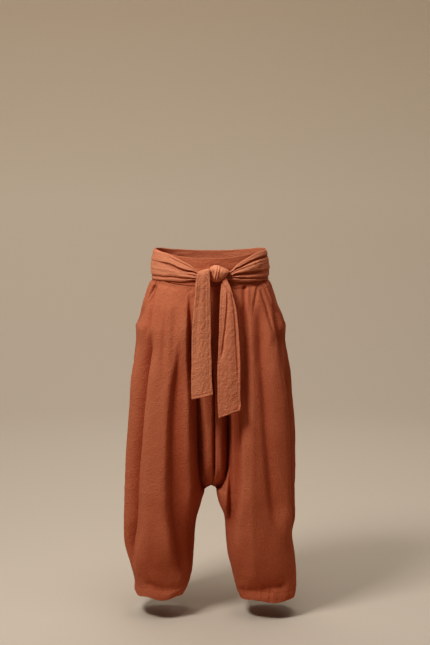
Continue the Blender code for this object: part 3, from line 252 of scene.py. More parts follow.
# Creases that run across a leg above its hem, with paths of (across, level) pairs
Trough = namedtuple("Trough", "path half_height depth")
TROUGHS = {
    (Side.RIGHT, Face.FRONT): (
        Trough(((0.08, 0.944), (0.1, 0.949), (0.125, 0.949), (0.15, 0.946), (0.17, 0.941)), 0.013, -0.0065),
    ),
    (Side.RIGHT, Face.BACK): (
        Trough(((0.09, 0.925), (0.14, 0.932), (0.19, 0.922)), 0.012, -0.007),
    ),
    (Side.LEFT, Face.FRONT): (
        Trough(((0.085, 0.957), (0.11, 0.953), (0.135, 0.949), (0.16, 0.944), (0.195, 0.936)),
             0.013, -0.0085),
    ),
    (Side.LEFT, Face.BACK): (
        Trough(((0.1, 0.938), (0.15, 0.93), (0.2, 0.936)), 0.012, -0.007),
    ),
}
# Columns of a panel's grid that the folds lead down, with paths of (level, across) pairs
Flow = namedtuple("Flow", "column path")
FLOWS = {
    (Side.RIGHT, Face.FRONT): (
        Flow(12, ((0.078, 0.07), (0.2, 0.078), (0.33, 0.088), (0.44, 0.102), (0.55, 0.106), (0.65, 0.107),
                  (0.75, 0.102), (0.83, 0.09), (0.92, 0.084), (1.0, 0.106))),
        Flow(15, ((0.078, 0.084), (0.22, 0.092), (0.37, 0.106), (0.49, 0.126), (0.6, 0.131), (0.69, 0.13),
                  (0.75, 0.124), (0.82, 0.112), (0.93, 0.106), (1.0, 0.124))),
    ),
    (Side.LEFT, Face.FRONT): (
        Flow(13, ((0.078, 0.078), (0.11, 0.095), (0.23, 0.123), (0.35, 0.129), (0.49, 0.135), (0.63, 0.141),
                  (0.78, 0.145), (1.0, 0.155))),
    ),
    (Side.RIGHT, Face.BACK): (
        Flow(6, ((0.078, 0.08), (0.36, 0.094), (0.58, 0.102), (0.88, 0.094), (1.0, 0.11))),
    ),
    (Side.LEFT, Face.BACK): (
        Flow(6, ((0.078, 0.084), (0.4, 0.1), (0.62, 0.112), (0.9, 0.106), (1.0, 0.118))),
    ),
}
# The front's pocket mouth: (level, distance from the outseam)
MOUTH = ((0.078, 0.049), (0.142, 0.053), (0.184, 0.034), (0.226, 0.0))
MOUTH_END = MOUTH[-1][0]
# The sash's edges in front: (across, drop of its top, drop of its bottom)
SASH_EDGES = {
    Side.RIGHT: ((0.000, 0.060, 0.079), (0.027, 0.058, 0.080), (0.054, 0.041, 0.083), (0.079, 0.028, 0.086),
                 (0.112, 0.012, 0.084), (0.150, 0.003, 0.085)),
    Side.LEFT: ((0.000, 0.060, 0.079), (0.049, 0.057, 0.081), (0.068, 0.039, 0.086), (0.092, 0.024, 0.087),
                (0.126, 0.008, 0.086), (0.145, 0.003, 0.086)),
}
# The waist seam dips in front and behind
BAND_HEIGHT = 0.078
DIP = {Face.FRONT: 0.022, Face.BACK: 0.014}
TOP_ZONE = 0.110
# The middle seams end in a low arch
CROTCH_DROP = 0.675
ARCH_HEIGHT = 0.009
ARCH_FOOT = CROTCH_DROP + ARCH_HEIGHT
# The hems, waved in front
LAST_LEVEL = 0.977
HEM_DROP = {Side.RIGHT: 0.977, Side.LEFT: 0.985}
HEM_WAVE = 0.004
HEM_WAVES = {Side.RIGHT: 3.0, Side.LEFT: 2.0}
HEM_PHASE = 0.6
HEM_ZONE = 0.060
# How far behind the middle plane the outseams settle below the hips
OUTSEAM_Y = {Side.RIGHT: 0.012, Side.LEFT: -0.038}
OUTSEAM_Y_START = 0.20
OUTSEAM_Y_LENGTH = 0.15
# Roundness of a leg column's outer and inner quarter
OUTER_POWER = 2.15
INNER_POWER = 2.7
HALF_GAP = 0.00015
# Where the grid's corner and last columns lie
CORNER_COLUMN = {Face.FRONT: 5, Face.BACK: 3}
LAST_COLUMN = {Face.FRONT: 25, Face.BACK: 12}
CORNER_LEAST = 0.040
CORNER_LEAST_END = 0.25
CORNER_LEAST_FADE = 0.10
CORNER_AT_INSEAM = 0.006
CORNER_FAN = 0.100
OUTSEAM_FADE = 0.040
# The leg's form near the crotch is averaged over this reach, all but this last part of its edge
EASED_REACH = 0.060
EASED_STEPS = 17
EASED_WIDTH = 0.6 * EASED_REACH
EDGE_START = 0.40
INSEAM_REACH = (0.004, 0.034)
INSEAM_GROW = 0.15
INSEAM_START = 0.006
INSEAM_EASE = 0.006
# The middle seam of the front hangs a little towards the wearer's left
SEAM_LEAN = 0.0095
SEAM_LEAN_WIDTH = 0.020
SEAM_LEAN_LEVELS = (0.28, 0.40, 0.62, 0.684)
# How far the outseam is drawn in, between these levels
OUTSEAM_PINCH = {Side.RIGHT: 0.0025, Side.LEFT: 0.0160}
PINCH_WIDTH = {Face.FRONT: 0.014, Face.BACK: 0.018}
PINCH_LEVELS = (0.30, 0.42, 0.72, 0.86)
TROUGH_END = 0.025
# Within this reach of the outseam the folds stand out square to the cloth, not to the front
SIDE_FOLDS_REACH = 0.185
SIDE_FOLDS_EASE = 0.09
# Painted highlight on a fold's ridge and painted shade in its valley: how much paler or darker the cloth is
# painted for each metre of the fold's depth, and the range
FOLD_PAINTED_SHADING = 20.0
FOLD_PAINTED_SHADING_RANGE = (-0.45, 0.12)
FOLD_STEPS = 5
DENSE = 90
LATTICE = 64
TINY = 1e-9
# The bands of levels of a panel's grid: from, to and steps
PANEL_BANDS = (
    (0.0783, 0.10, 10), (0.10, 0.60, 110), (0.60, CROTCH_DROP, 24), (CROTCH_DROP, ARCH_FOOT, 6),
    (ARCH_FOOT, 0.90, 50), (0.90, LAST_LEVEL, 36),
)
PANEL_COLUMNS = {Face.FRONT: 131, Face.BACK: 93}


def smooth_step(value: Array | float) -> Array | float:
    """Ease from 0 to 1."""
    t = np.clip(value, 0.0, 1.0)
    return t * t * (3.0 - 2.0 * t)


def between(marks: Sequence[float], value: Array, height: float = 1.0) -> Array:
    """Ease in from the first mark to the second, and out again from the third to the last.

    Args:
        marks: The four marks.
        value: Where to read.
        height: The height between the second mark and the third.

    Returns:
        The height at each place.
    """
    first, whole, last, end = marks
    return height * smooth_step((value - first) / (whole - first)) * smooth_step((end - value) / (end - last))


def bell(away: Array | float, width: float | Array) -> Array | float:
    """Return a soft bump of height 1.

    Args:
        away: Distance from the bump's middle.
        width: Distance at which the bump has fallen to about a third.

    Returns:
        The bump's height.
    """
    return np.exp(-((np.asarray(away) / width) ** 2))


def uneven_bell(away: Array, before: float, after: float) -> Array:
    """Return a soft bump of height 1 with a width of its own before its middle and after it."""
    return bell(away, np.where(away < 0.0, before, after))


def smooth_through(xs: Sequence[float], ys: Sequence[float], x: Array | float) -> Array | float:
    """Return a monotone cubic curve, read at x.

    Args:
        xs: Rising places of the points that the curve goes through.
        ys: The points' values.
        x: Where to read.

    Returns:
        The curve's values, which stay level beyond the last points.
    """
    xs, ys = np.asarray(xs, dtype=float), np.asarray(ys, dtype=float)
    gaps = np.diff(xs)
    slopes = np.diff(ys) / gaps
    tangents = np.zeros_like(ys)
    before, after = slopes[:-1], slopes[1:]
    same_way = before * after > 0.0
    sums = np.where(same_way, before + after, 1.0)
    tangents[1:-1] = np.where(same_way, 2.0 * before * after / sums, 0.0)
    tangents[0], tangents[-1] = slopes[0], slopes[-1]
    i = np.clip(np.searchsorted(xs, x) - 1, 0, len(xs) - 2)
    t = np.clip((x - xs[i]) / gaps[i], 0.0, 1.0)
    from_values = (1.0 + 2.0 * t) * (1.0 - t) ** 2 * ys[i] + t * t * (3.0 - 2.0 * t) * ys[i + 1]
    from_tangents = t * (1.0 - t) ** 2 * tangents[i] - t * t * (1.0 - t) * tangents[i + 1]
    return from_values + gaps[i] * from_tangents


def soft_noise(u: Array, v: Array, seed: int) -> Array:
    """Return smooth random relief from -1 to 1 with one bump to each unit of u and v.

    Args:
        u: First coordinate.
        v: Second coordinate.
        seed: Which random lattice to read.

    Returns:
        The relief at each place.
    """
    lattice = np.random.default_rng(seed).uniform(-1.0, 1.0, (LATTICE, LATTICE))
    u, v = np.broadcast_arrays(np.asarray(u, dtype=float), np.asarray(v, dtype=float))
    cu, cv = np.floor(u).astype(int), np.floor(v).astype(int)
    fu, fv = smooth_step(u - cu), smooth_step(v - cv)
    i, j, k, m = cu % LATTICE, cv % LATTICE, (cu + 1) % LATTICE, (cv + 1) % LATTICE
    near = lattice[i, j] * (1.0 - fv) + lattice[i, m] * fv
    far = lattice[k, j] * (1.0 - fv) + lattice[k, m] * fv
    return near * (1.0 - fu) + far * fu


@dataclass(frozen=True)
class Noise:
    """One layer of soft random relief on the cloth.

    Args:
        height: Half the height of its bumps.
        width: Length of a bump along u.
        length: Length of a bump along v.
        seed: Which random lattice it reads, counted from its piece's own.
        lean: How far it leans along u for each unit of v.
        climb: How far it leans along v for each unit of u.
    """

    height: float
    width: float
    length: float
    seed: int
    lean: float = 0.0
    climb: float = 0.0

    def read(self, u: Array, v: Array | float, seed: int = 0, wander: Array | float = 0.0) -> Array:
        """Return the relief.

        Args:
            u: Distance along the cloth.
            v: Distance down the cloth.
            seed: The piece's own seed.
            wander: How far the bumps stray along u, counted in bumps.

        Returns:
            The relief at each place.
        """
        along = (u + self.lean * v) / self.width + wander
        return self.height * soft_noise(along, (v + self.climb * u) / self.length, seed + self.seed)


@dataclass(frozen=True)
class Ridge:
    """A soft ridge, or a groove if its height is negative, beside an edge.

    Args:
        height: Its height.
        place: Distance of its middle from the edge.
        width: Distance from its middle at which it has fallen to about a third.
    """

    height: float
    place: float
    width: float

    def at(self, away: Array, size: Array | float = 1.0) -> Array:
        """Return the height at distances from the edge, where size makes it fuller or slighter."""
        return self.height * size * bell(away - self.place, self.width)


def unit(vectors: Array) -> Array:
    """Return vectors of length one."""
    return vectors / np.maximum(np.linalg.norm(vectors, axis=-1, keepdims=True), TINY)


def run_length(points: Array) -> Array:
    """Return the distance along a run of points, from 0 at the first."""
    return np.concatenate([[0.0], np.cumsum(np.linalg.norm(np.diff(points, axis=0), axis=-1))])


def read_grid(values: Array, rows: Array, columns: Array) -> Array:
    """Return a grid's values at places between its rows and columns.

    Args:
        values: Grid of shape (rows, columns, parts).
        rows: Row numbers, with fractions.
        columns: Column numbers, with fractions.

    Returns:
        One value for each place.
    """
    i = np.clip(np.floor(rows).astype(int), 0, values.shape[0] - 2)
    j = np.clip(np.floor(columns).astype(int), 0, values.shape[1] - 2)
    fi, fj = (rows - i)[:, None], (columns - j)[:, None]
    top = values[i, j] * (1.0 - fj) + values[i, j + 1] * fj
    low = values[i + 1, j] * (1.0 - fj) + values[i + 1, j + 1] * fj
    return top * (1.0 - fi) + low * fi


def grid_normals(points: Array, turn: float) -> Array:
    """Return the normals of a grid, on the side that turn picks."""
    return unit(np.cross(np.gradient(points, axis=0), np.gradient(points, axis=1))) * turn


@dataclass
class Cloth:
    """A grid of points over a sheet of cloth, with the outward normal and the flat place at each."""

    points: Array
    normals: Array
    uv: Array

    def lifted(self, relief: Array) -> Cloth:
        """Return this sheet with relief added along its normals."""
        return Cloth(self.points + self.normals * relief[..., None], self.normals, self.uv)

    def upside_down(self) -> Cloth:
        """Return this sheet with its rows in the other order."""
        return Cloth(self.points[::-1], self.normals[::-1], self.uv[::-1])

    def read(self, rows: Array, columns: Array) -> tuple[Array, Array]:
        """Return points and normals at places on the grid."""
        return read_grid(self.points, rows, columns), unit(read_grid(self.normals, rows, columns))

    def area(self) -> float:
        """Return the area of one side of the sheet."""
        down, along = np.diff(self.points, axis=0)[:, :-1], np.diff(self.points, axis=1)[:-1]
        return float(np.linalg.norm(np.cross(down, along), axis=-1).sum())

    def turned_back(
        self, facing: Array, ahead: Array, onward: Array, radius: float, climbs: Array, rows: Array
    ) -> Cloth:
        """Return this sheet with its last edge turned back behind it.

        Args:
            facing: Which way the cloth faces at the edge.
            ahead: Which way the cloth runs on at the edge.
            onward: The same on the flat cloth.
            radius: Radius of the fold.
            climbs: How far back the rows of the turned part lie.
            rows: Which row of the sheet each of them lies behind.

        Returns:
            The sheet with the rows of the fold added.
        """
        points, normals, uv = [], [], []
        for angle in np.linspace(0.0, np.pi, FOLD_STEPS + 1)[1:]:
            out, on = math.cos(angle), math.sin(angle)
            points.append(self.points[-1] + facing * radius * (out - 1.0) + ahead * radius * on)
            normals.append(facing * out + ahead * on)
            uv.append(self.uv[-1] + onward * radius * angle)
        along = np.arange(self.points.shape[1], dtype=float)
        for climb, row in zip(climbs, rows):
            before, outward = self.read(np.full(len(along), row), along)
            points.append(before - outward * 2.0 * radius)
            normals.append(-outward)
            uv.append(self.uv[-1] + onward * (radius * np.pi + climb))
        pairs = ((self.points, points), (self.normals, normals), (self.uv, uv))
        return Cloth(*(np.concatenate([old, np.array(new)]) for old, new in pairs))


@dataclass
class PanelForm:
    """The form of one panel: its smooth section at every level and the folds laid over it."""

    side: Side
    face: Face
    sections: dict[float, tuple[Array, Array, Array, float]] = field(default_factory=dict)
    folds: dict[float, Array] = field(default_factory=dict)

    @property
    def key(self) -> Key:
        """Return the panel's side and face."""
        return self.side, self.face

    def value(self, name: str, level: Array | float) -> Array | float:
        """Return one column of the section table at a level."""
        return smooth_through(Section["drop"], Section[name], level)

    def eased(self, name: str, level: float) -> float:
        """Return a column of the section table, averaged over the levels nearby."""
        away = np.linspace(-EASED_REACH, EASED_REACH, EASED_STEPS)
        weights = bell(away, EASED_WIDTH)
        return float(np.sum(weights * self.value(name, level + away)) / weights.sum())

    def quarter(self, peak: Sequence[float], side: Sequence[float], power: float) -> tuple[Array, Array]:
        """Return the rounded quarter from a peak to the side of a leg column."""
        angle = np.linspace(0.0, np.pi / 2.0, DENSE)
        x = peak[0] + (side[0] - peak[0]) * np.sin(angle) ** (2.0 / power)
        y = side[1] + (peak[1] - side[1]) * np.cos(angle) ** (2.0 / power)
        return x, y

    def section(self, level: float) -> tuple[Array, Array, Array, float]:
        """Return the section at a level.

        Args:
            level: Distance below the waistband's top edge.

        Returns:
            Distance along the section, across, y, and where the part that hangs from the middle
            seam ends.
        """
        level = round(float(level), 6)
        if level in self.sections:
            return self.sections[level]
        side, face = self.side.value, self.face.value
        out, inner, step = (self.value(f"{side}_{name}", level) for name in ("out", "in", "step"))
        peak_y, seam_y, inner_y = (self.value(name, level) for name in (face, face + "_seam", face + "_in"))
        soft_x, soft_y = self.eased(side + "_in", level), self.eased(face + "_in", level)
        peak = (soft_x + self.value("peak", level) * (out - soft_x), peak_y)
        side_y = OUTSEAM_Y[self.side] * smooth_step((level - OUTSEAM_Y_START) / OUTSEAM_Y_LENGTH)
        t = np.linspace(0.0, 1.0, DENSE)
        at_edge = smooth_step((t - EDGE_START) / (1.0 - EDGE_START))
        x, y = self.quarter(peak, (soft_x, soft_y), INNER_POWER)
        parts = [((x + (inner - soft_x) * at_edge)[::-1], (y + (inner_y - soft_y) * at_edge)[::-1])]
        if level < ARCH_FOOT:
            start = inner * math.sqrt(max(level - CROTCH_DROP, 0.0) / ARCH_HEIGHT)
            parts.insert(0, (start + (inner - start) * t, seam_y + (inner_y - seam_y) * smooth_step(t)))
        if self.face is Face.FRONT:
            parts.append(self.quarter(peak, (out - step, side_y), OUTER_POWER))
        else:
            parts.append(self.quarter(peak, (out, side_y + 2.0 * step), OUTER_POWER))
            parts.append((out - step * smooth_step(t), side_y + 2.0 * step * (1.0 - t)))
        x, y = (np.concatenate(part) for part in zip(*parts))
        runs = run_length(np.stack([x, y], axis=-1))
        ribbon = runs[DENSE - 1] if level < ARCH_FOOT else 0.0
        self.sections[level] = (runs, x, y, ribbon)
        return self.sections[level]

    def length(self, level: float) -> float:
        """Return the panel's width at a level."""
        return self.section(level)[0][-1]

    def corner_run(self, level: float, even: float) -> float:
        """Return where the column at the leg's inner edge lies along the panel."""
        if level <= CROTCH_DROP + TINY:
            least = CORNER_LEAST * (1.0 - smooth_step((level - CORNER_LEAST_END) / CORNER_LEAST_FADE))
            return max(self.section(level)[3], least)
        grown = smooth_step((level - CROTCH_DROP) / CORNER_FAN)
        return max(self.section(level)[3], CORNER_AT_INSEAM + (even - CORNER_AT_INSEAM) * grown)

    def column_runs(self, level: float, mouth: float, count: int) -> Array:
        """Return where the columns lie along the panel, some of them led down by its folds.

        Args:
            level: Distance below the waistband's top edge.
            mouth: How far the panel's edge stops short of the outseam.
            count: How many columns.

        Returns:
            Distance of each column from the panel's inner edge.
        """
        runs, across = self.section(level)[:2]
        rising = np.maximum.accumulate(across)
        flows, corner, last = FLOWS[self.key], CORNER_COLUMN[self.face], LAST_COLUMN[self.face]
        led = [float(np.interp(smooth_through(*zip(*flow.path), level), rising, runs)) for flow in flows]
        led.insert(0, self.corner_run(level, led[0] * corner / flows[0].column))
        numbers = [0, corner, *(flow.column for flow in flows), last]
        ends = [HALF_GAP, *led, runs[-1] - HALF_GAP - mouth]
        return np.interp(np.linspace(0.0, last, count), numbers, ends)

    def fold_depth(self, across: Array, level: float, runs: Array, rest: Array) -> Array:
        """Return how far the folds move the surface out.

        Args:
            across: Distances from the middle plane.
            level: Distance below the waistband's top edge.
            runs: Distances along the section from its inner edge.
            rest: Distances from the outseam.

        Returns:
            The depths, positive outwards.
        """
        total = np.zeros_like(across)
        placed = [(fold, across) for fold in FOLDS[self.key]]
        placed += [(fold, rest) for fold in SIDE_FOLDS[self.key]]
        for fold, at in placed:
            drops, places = zip(*fold.path)
            if drops[0] < level < drops[-1]:
                away = at - smooth_through(drops, places, level)
                grown = smooth_step((level - drops[0]) / fold.grow)
                grown = grown * smooth_step((drops[-1] - level) / fold.die)
                total += fold.depth * grown * uneven_bell(away, fold.inner, fold.outer)
        for trough in TROUGHS[self.key]:
            places, drops = zip(*trough.path)
            ends = smooth_step((across - places[0]) / TROUGH_END + 1.0)
            ends = ends * smooth_step((places[-1] - across) / TROUGH_END + 1.0)
            away = level - smooth_through(places, drops, across)
            total += trough.depth * ends * bell(away, trough.half_height)
        below_crotch = smooth_step((level - CROTCH_DROP + INSEAM_START) / INSEAM_EASE)
        reach = INSEAM_REACH[0] + INSEAM_REACH[1] * smooth_step((level - CROTCH_DROP) / INSEAM_GROW)
        at_inseam = 1.0 - below_crotch * (1.0 - smooth_step(runs / reach))
        return total * smooth_step(rest / OUTSEAM_FADE) * at_inseam

    def drop(self, share: Array, level: float) -> Array:
        """Return how far below the origin a level lies: bent to the waist seam and the hem."""
        runs, _, y, _ = self.section(0.0)
        top = DIP[self.face] * (np.interp(share * runs[-1], runs, y) / Section[self.face.value][0]) ** 2
        at_top = 1.0 - smooth_step((level - BAND_HEIGHT) / TOP_ZONE)
        at_hem = smooth_step((level - LAST_LEVEL + HEM_ZONE) / HEM_ZONE)
        hem = HEM_DROP[self.side]
        if self.face is Face.FRONT:
            waves = np.sin(share * np.pi * 2.0 * HEM_WAVES[self.side] - HEM_PHASE)
            hem = hem + HEM_WAVE * np.sin(share * np.pi) * waves
        return level + top * at_top + (hem - LAST_LEVEL) * at_hem

    def row(self, runs_at: Array, level: float, folded: bool = True) -> Array:
        """Return points on the panel's outer surface along one level.

        Args:
            runs_at: Distances from the panel's inner edge.
            level: Distance below the waistband's top edge.
            folded: Whether the folds are laid over the smooth form.

        Returns:
            Points of shape (count, 3).
        """
        runs, x, y, _ = self.section(level)
        across, depth = np.interp(runs_at, runs, x), np.interp(runs_at, runs, y)
        share = runs_at / runs[-1]
        if folded:
            rest = runs[-1] - runs_at
            self.folds[level] = self.fold_depth(across, level, runs_at, rest)
            tangent = np.abs(unit(np.stack([np.gradient(across), np.gradient(depth)], axis=-1)))
            sideways = smooth_step((SIDE_FOLDS_REACH - rest) / SIDE_FOLDS_EASE)
            outward = np.stack([tangent[:, 1] * sideways, 1.0 + sideways * (tangent[:, 0] - 1.0)], axis=-1)
            outward = unit(outward) * self.folds[level][:, None]
            across, depth = across + outward[:, 0], depth + self.face.outward * outward[:, 1]
        return np.stack([self.side.sign * across, depth, -self.drop(share, level)], axis=-1)


@dataclass(frozen=True)
class ClothFinish:
    """How one linen looks.

    Args:
        name: The material's name.
        light: Colour of the worn threads and of painted highlights.
        deep: Colour of the fullest dye and of painted shade.
        crinkle: Height of the finest crinkle in metres.
        slant: How far the crinkle leans across the weave.
    """

    name: str
    light: tuple[float, float, float]
    deep: tuple[float, float, float]
    crinkle: float
    slant: float


TROUSER_LINEN = ClothFinish("linen", (0.52, 0.168, 0.087), (0.340, 0.082, 0.037), 0.0016, 0.5)
SASH_LINEN = ClothFinish("sash_linen", (0.66, 0.250, 0.138), (0.470, 0.150, 0.079), 0.0018, 0.75)
THREAD = ClothFinish("thread", (0.60, 0.21, 0.11), (0.50, 0.15, 0.07), 0.0001, 0.0)
# Grain of the linen: bumps to the metre along and across, and how much each layer pales the colour
THREADS_PER_METRE = 900.0
THREAD_RUN = 0.03
SLUBS = (90.0, 420.0, 1.0)
CRINKLES = (290.0, 150.0, 1.0)
CREPE = (420.0, 260.0, 1.0)
DYE_PATCHES = (11.0, 7.0, 1.0)
THREAD_TONE = 0.30
FIRST_TONE = -0.10
SLUB_TONE = 0.28
CRINKLE_TONE = 0.25
CREPE_TONE = 1.25
DYE_TONE = 0.5
# Heights of the grain: in metres for threads and slubs, as a share of the crinkle for the crepe
THREAD_HEIGHT = 0.00012
SLUB_HEIGHT = 0.00025
CREPE_HEIGHT = 1.1
CLOTH_ROUGHNESS = 0.92
CLOTH_SHINE = 0.2
SHEEN = 0.22
SHEEN_ROUGHNESS = 0.5


@dataclass
class Shading:
    """A material's node tree, with short ways to add and join its nodes."""

    tree: bpy.types.NodeTree

    def node(self, kind: str, values: dict[str, object] | None = None, **settings: object) -> bpy.types.Node:
        """Add a node.

        Args:
            kind: The node's type.
            values: Input values or sockets to join, by input name or number.
            **settings: The node's own properties.

        Returns:
            The new node.
        """
        node = self.tree.nodes.new(kind)
        for key, value in settings.items():
            setattr(node, key, value)
        for key, value in (values or {}).items():
            if isinstance(value, bpy.types.NodeSocket):
                self.tree.links.new(value, node.inputs[key])
            else:
                node.inputs[key].default_value = value
        return node

    def noise(
        self, vector: bpy.types.NodeSocket, stretch: Sequence[float], detail: float
    ) -> bpy.types.NodeSocket:
        """Return noise whose grains are stretched along the cloth."""
        place = self.node("ShaderNodeMapping", {"Vector": vector, "Scale": tuple(stretch)})
        grain = self.node("ShaderNodeTexNoise", {"Vector": place.outputs[0], "Scale": 1.0, "Detail": detail})
        return grain.outputs[0]

    def maths(self, operation: str, *values: object) -> bpy.types.NodeSocket:
        """Return the result of one sum on values or sockets."""
        return self.node("ShaderNodeMath", dict(enumerate(values)), operation=operation).outputs[0]

    def bump(
        self, height: bpy.types.NodeSocket, distance: float, before: object = None
    ) -> bpy.types.NodeSocket:
        """Return a normal bent by a height."""
        values = {"Height": height, "Distance": distance, "Strength": 1.0}
        if before is not None:
            values["Normal"] = before
        return self.node("ShaderNodeBump", values).outputs[0]


def linen_material(finish: ClothFinish) -> bpy.types.Material:
    """Return a washed linen: crossing threads, slubs, crinkle, uneven dye, and worn edges with painted light
    and shade from each piece's attribute.

    Args:
        finish: How the linen looks.

    Returns:
        The material.
    """
    material = bpy.data.materials.new(finish.name)
    material.use_nodes = True
    shade = Shading(material.node_tree)
    shader = material.node_tree.nodes["Principled BSDF"]
    cloth = shade.node("ShaderNodeUVMap", uv_map="cloth").outputs[0]
    per = THREADS_PER_METRE
    warp = shade.noise(cloth, (per, per * THREAD_RUN, 1.0), 1.0)
    weft = shade.noise(cloth, (per * THREAD_RUN, per, 1.0), 1.0)
    slub = shade.noise(cloth, SLUBS, 2.0)
    lean = shade.node("ShaderNodeMapping", {"Vector": cloth, "Rotation": (0.0, 0.0, finish.slant)}).outputs[0]
    crinkle = shade.noise(lean, CRINKLES, 3.0)
    crepe = shade.noise(lean, CREPE, 1.0)
    dye = shade.noise(cloth, DYE_PATCHES, 3.0)
    # This attribute pales worn edges and also carries painted shade and painted light
    wear_and_painted_shading = shade.node("ShaderNodeAttribute", attribute_name="wear_and_painted_shading").outputs["Fac"]
    threads = shade.maths("ADD", warp, weft)
    tone = shade.maths("MULTIPLY_ADD", threads, THREAD_TONE, FIRST_TONE)
    for grain, size in ((slub, SLUB_TONE), (crinkle, CRINKLE_TONE)):
        tone = shade.maths("ADD", tone, shade.maths("MULTIPLY", grain, size))
    for grain, size in ((crepe, CREPE_TONE), (dye, DYE_TONE)):
        either_way = shade.maths("SUBTRACT", grain, 0.5)
        tone = shade.maths("ADD", tone, shade.maths("MULTIPLY", either_way, size))
    tone = shade.maths("ADD", tone, wear_and_painted_shading)
    ramp = shade.node("ShaderNodeMix", {0: tone}, data_type="RGBA", clamp_factor=True)
    ramp.inputs["A"].default_value = (*finish.deep, 1.0)
    ramp.inputs["B"].default_value = (*finish.light, 1.0)
    shade.tree.links.new(ramp.outputs["Result"], shader.inputs["Base Color"])
    normal = shade.bump(threads, THREAD_HEIGHT)
    normal = shade.bump(slub, SLUB_HEIGHT, normal)
    normal = shade.bump(crepe, CREPE_HEIGHT * finish.crinkle, normal)
    normal = shade.bump(crinkle, finish.crinkle, normal)
    shade.tree.links.new(normal, shader.inputs["Normal"])
    shader.inputs["Roughness"].default_value = CLOTH_ROUGHNESS
    shader.inputs["Sheen Weight"].default_value = SHEEN
    shader.inputs["Sheen Roughness"].default_value = SHEEN_ROUGHNESS
    shader.inputs["Sheen Tint"].default_value = (*finish.light, 1.0)
    shader.inputs["Specular IOR Level"].default_value = CLOTH_SHINE
    return material


def grid_faces(rows: int, columns: int, turn: float, ring: bool = False) -> list[tuple[int, int, int, int]]:
    """Return the faces of a grid of points.

    Args:
        rows: How many rows of points.
        columns: How many points in a row.
        turn: Which way the faces point.
        ring: Whether the last column joins the first.

    Returns:
        Four corner numbers for each face.
    """
    faces = []
    for i in range(rows - 1):
        for j in range(columns if ring else columns - 1):
            k = (j + 1) % columns
            a, b = i * columns + j, i * columns + k
            c, d = (i + 1) * columns + k, (i + 1) * columns + j
            faces.append((a, d, c, b) if turn > 0.0 else (a, b, c, d))
    return faces


def mesh_piece(
    name: str, points: Array, faces: list, uv: Array, wear_and_painted_shading: Array, material: bpy.types.Material
) -> bpy.types.Object:
    """Link one mesh object with its cloth coordinates, worn places and painted shading.

    Args:
        name: The object's name.
        points: Points of shape (count, 3).
        faces: Corner numbers of each face.
        uv: Place on the cloth in metres, of shape (count, 2).
        wear_and_painted_shading: How much paler or darker the cloth is at each point: worn places, painted
            light and painted shade.
        material: The linen.

    Returns:
        The new object.
    """
    mesh = bpy.data.meshes.new(name + "_cloth")
    mesh.from_pydata(points.tolist(), [], faces)
    corners = np.empty(len(mesh.loops), dtype=np.int32)
    mesh.loops.foreach_get("vertex_index", corners)
    layer = mesh.uv_layers.new(name="cloth")
    layer.data.foreach_set("uv", uv[corners].astype(np.float32).ravel())
    attribute = mesh.attributes.new("wear_and_painted_shading", "FLOAT", "POINT")
    attribute.data.foreach_set("value", np.asarray(wear_and_painted_shading, dtype=np.float32))
    mesh.materials.append(material)
    mesh.shade_smooth()
    piece = bpy.data.objects.new(name + "_cloth", mesh)
    bpy.context.collection.objects.link(piece)
    return piece


def pick(piece: bpy.types.Object) -> None:
    """Make a piece the only selected and the active one."""
    bpy.ops.object.select_all(action="DESELECT")
    bpy.context.view_layer.objects.active = piece
    piece.select_set(True)


def face_out(piece: bpy.types.Object) -> None:
    """Turn all faces of a piece outwards."""
    pick(piece)
    bpy.ops.object.mode_set(mode="EDIT")
    bpy.ops.mesh.select_all(action="SELECT")
    bpy.ops.mesh.normals_make_consistent(inside=False)
    bpy.ops.object.mode_set(mode="OBJECT")


def give_wall(piece: bpy.types.Object, thickness: float) -> None:
    """Give a picked sheet its thickness, laid inwards."""
    wall = piece.modifiers.new("wall", "SOLIDIFY")
    wall.thickness, wall.offset = thickness, -1.0
    bpy.ops.object.modifier_apply(modifier=wall.name)


def sheet_piece(
    name: str, cloth: Cloth, turn: float, wear_and_painted_shading: Array, thickness: float, material: bpy.types.Material
) -> bpy.types.Object:
    """Link one sheet of cloth and give it its thickness.

    Args:
        name: The object's name.
        cloth: The grid of points on its outer side.
        turn: Which way its faces point.
        wear_and_painted_shading: How much paler or darker the cloth is at each point: worn places, painted
            light and painted shade.
        thickness: Thickness in metres, laid inwards.
        material: The linen.

    Returns:
        The new object.
    """
    rows, columns = cloth.points.shape[:2]
    faces = grid_faces(rows, columns, turn)
    points, uv = cloth.points.reshape(-1, 3), cloth.uv.reshape(-1, 2)
    piece = mesh_piece(name, points, faces, uv, np.broadcast_to(wear_and_painted_shading, (rows, columns)).ravel(), material)
    pick(piece)
    give_wall(piece, thickness)
    return piece


def settle(piece: bpy.types.Object, node: str) -> None:
    """Set a finished piece in the place of its solid."""
    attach(piece, "root")
    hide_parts(node)


def levels_through(bands: Sequence[tuple[float, float, int]]) -> Array:
    """Return the values that run through bands of (from, to, steps)."""
    parts = [np.linspace(start, end, steps + 1)[1:] for start, end, steps in bands]
    return np.concatenate([[bands[0][0]], *parts])


def mouth_width(level: float) -> float:
    """Return how far the front panel's edge lies from the outseam at the pocket."""
    if level >= MOUTH_END:
        return 0.0
    return float(smooth_through(*zip(*MOUTH), level))


# Relief of the panels: soft dents, the cloth's two sizes of crinkle, and puckers along the seams
DRIFT = Noise(0.012, 0.07, 0.09, 0)
DENTS = Noise(0.0010, 0.022, 0.085, 10)
WIDE_CRINKLE = Noise(0.00035, 0.010, 0.016, 20, lean=0.5, climb=-0.4)
FINE_CRINKLE = Noise(0.00016, 0.0052, 0.0075, 30, lean=0.6, climb=-0.6)
PUCKERS = Noise(0.5, 0.01, 0.009, 40)
LEAST_PUCKER = 0.35
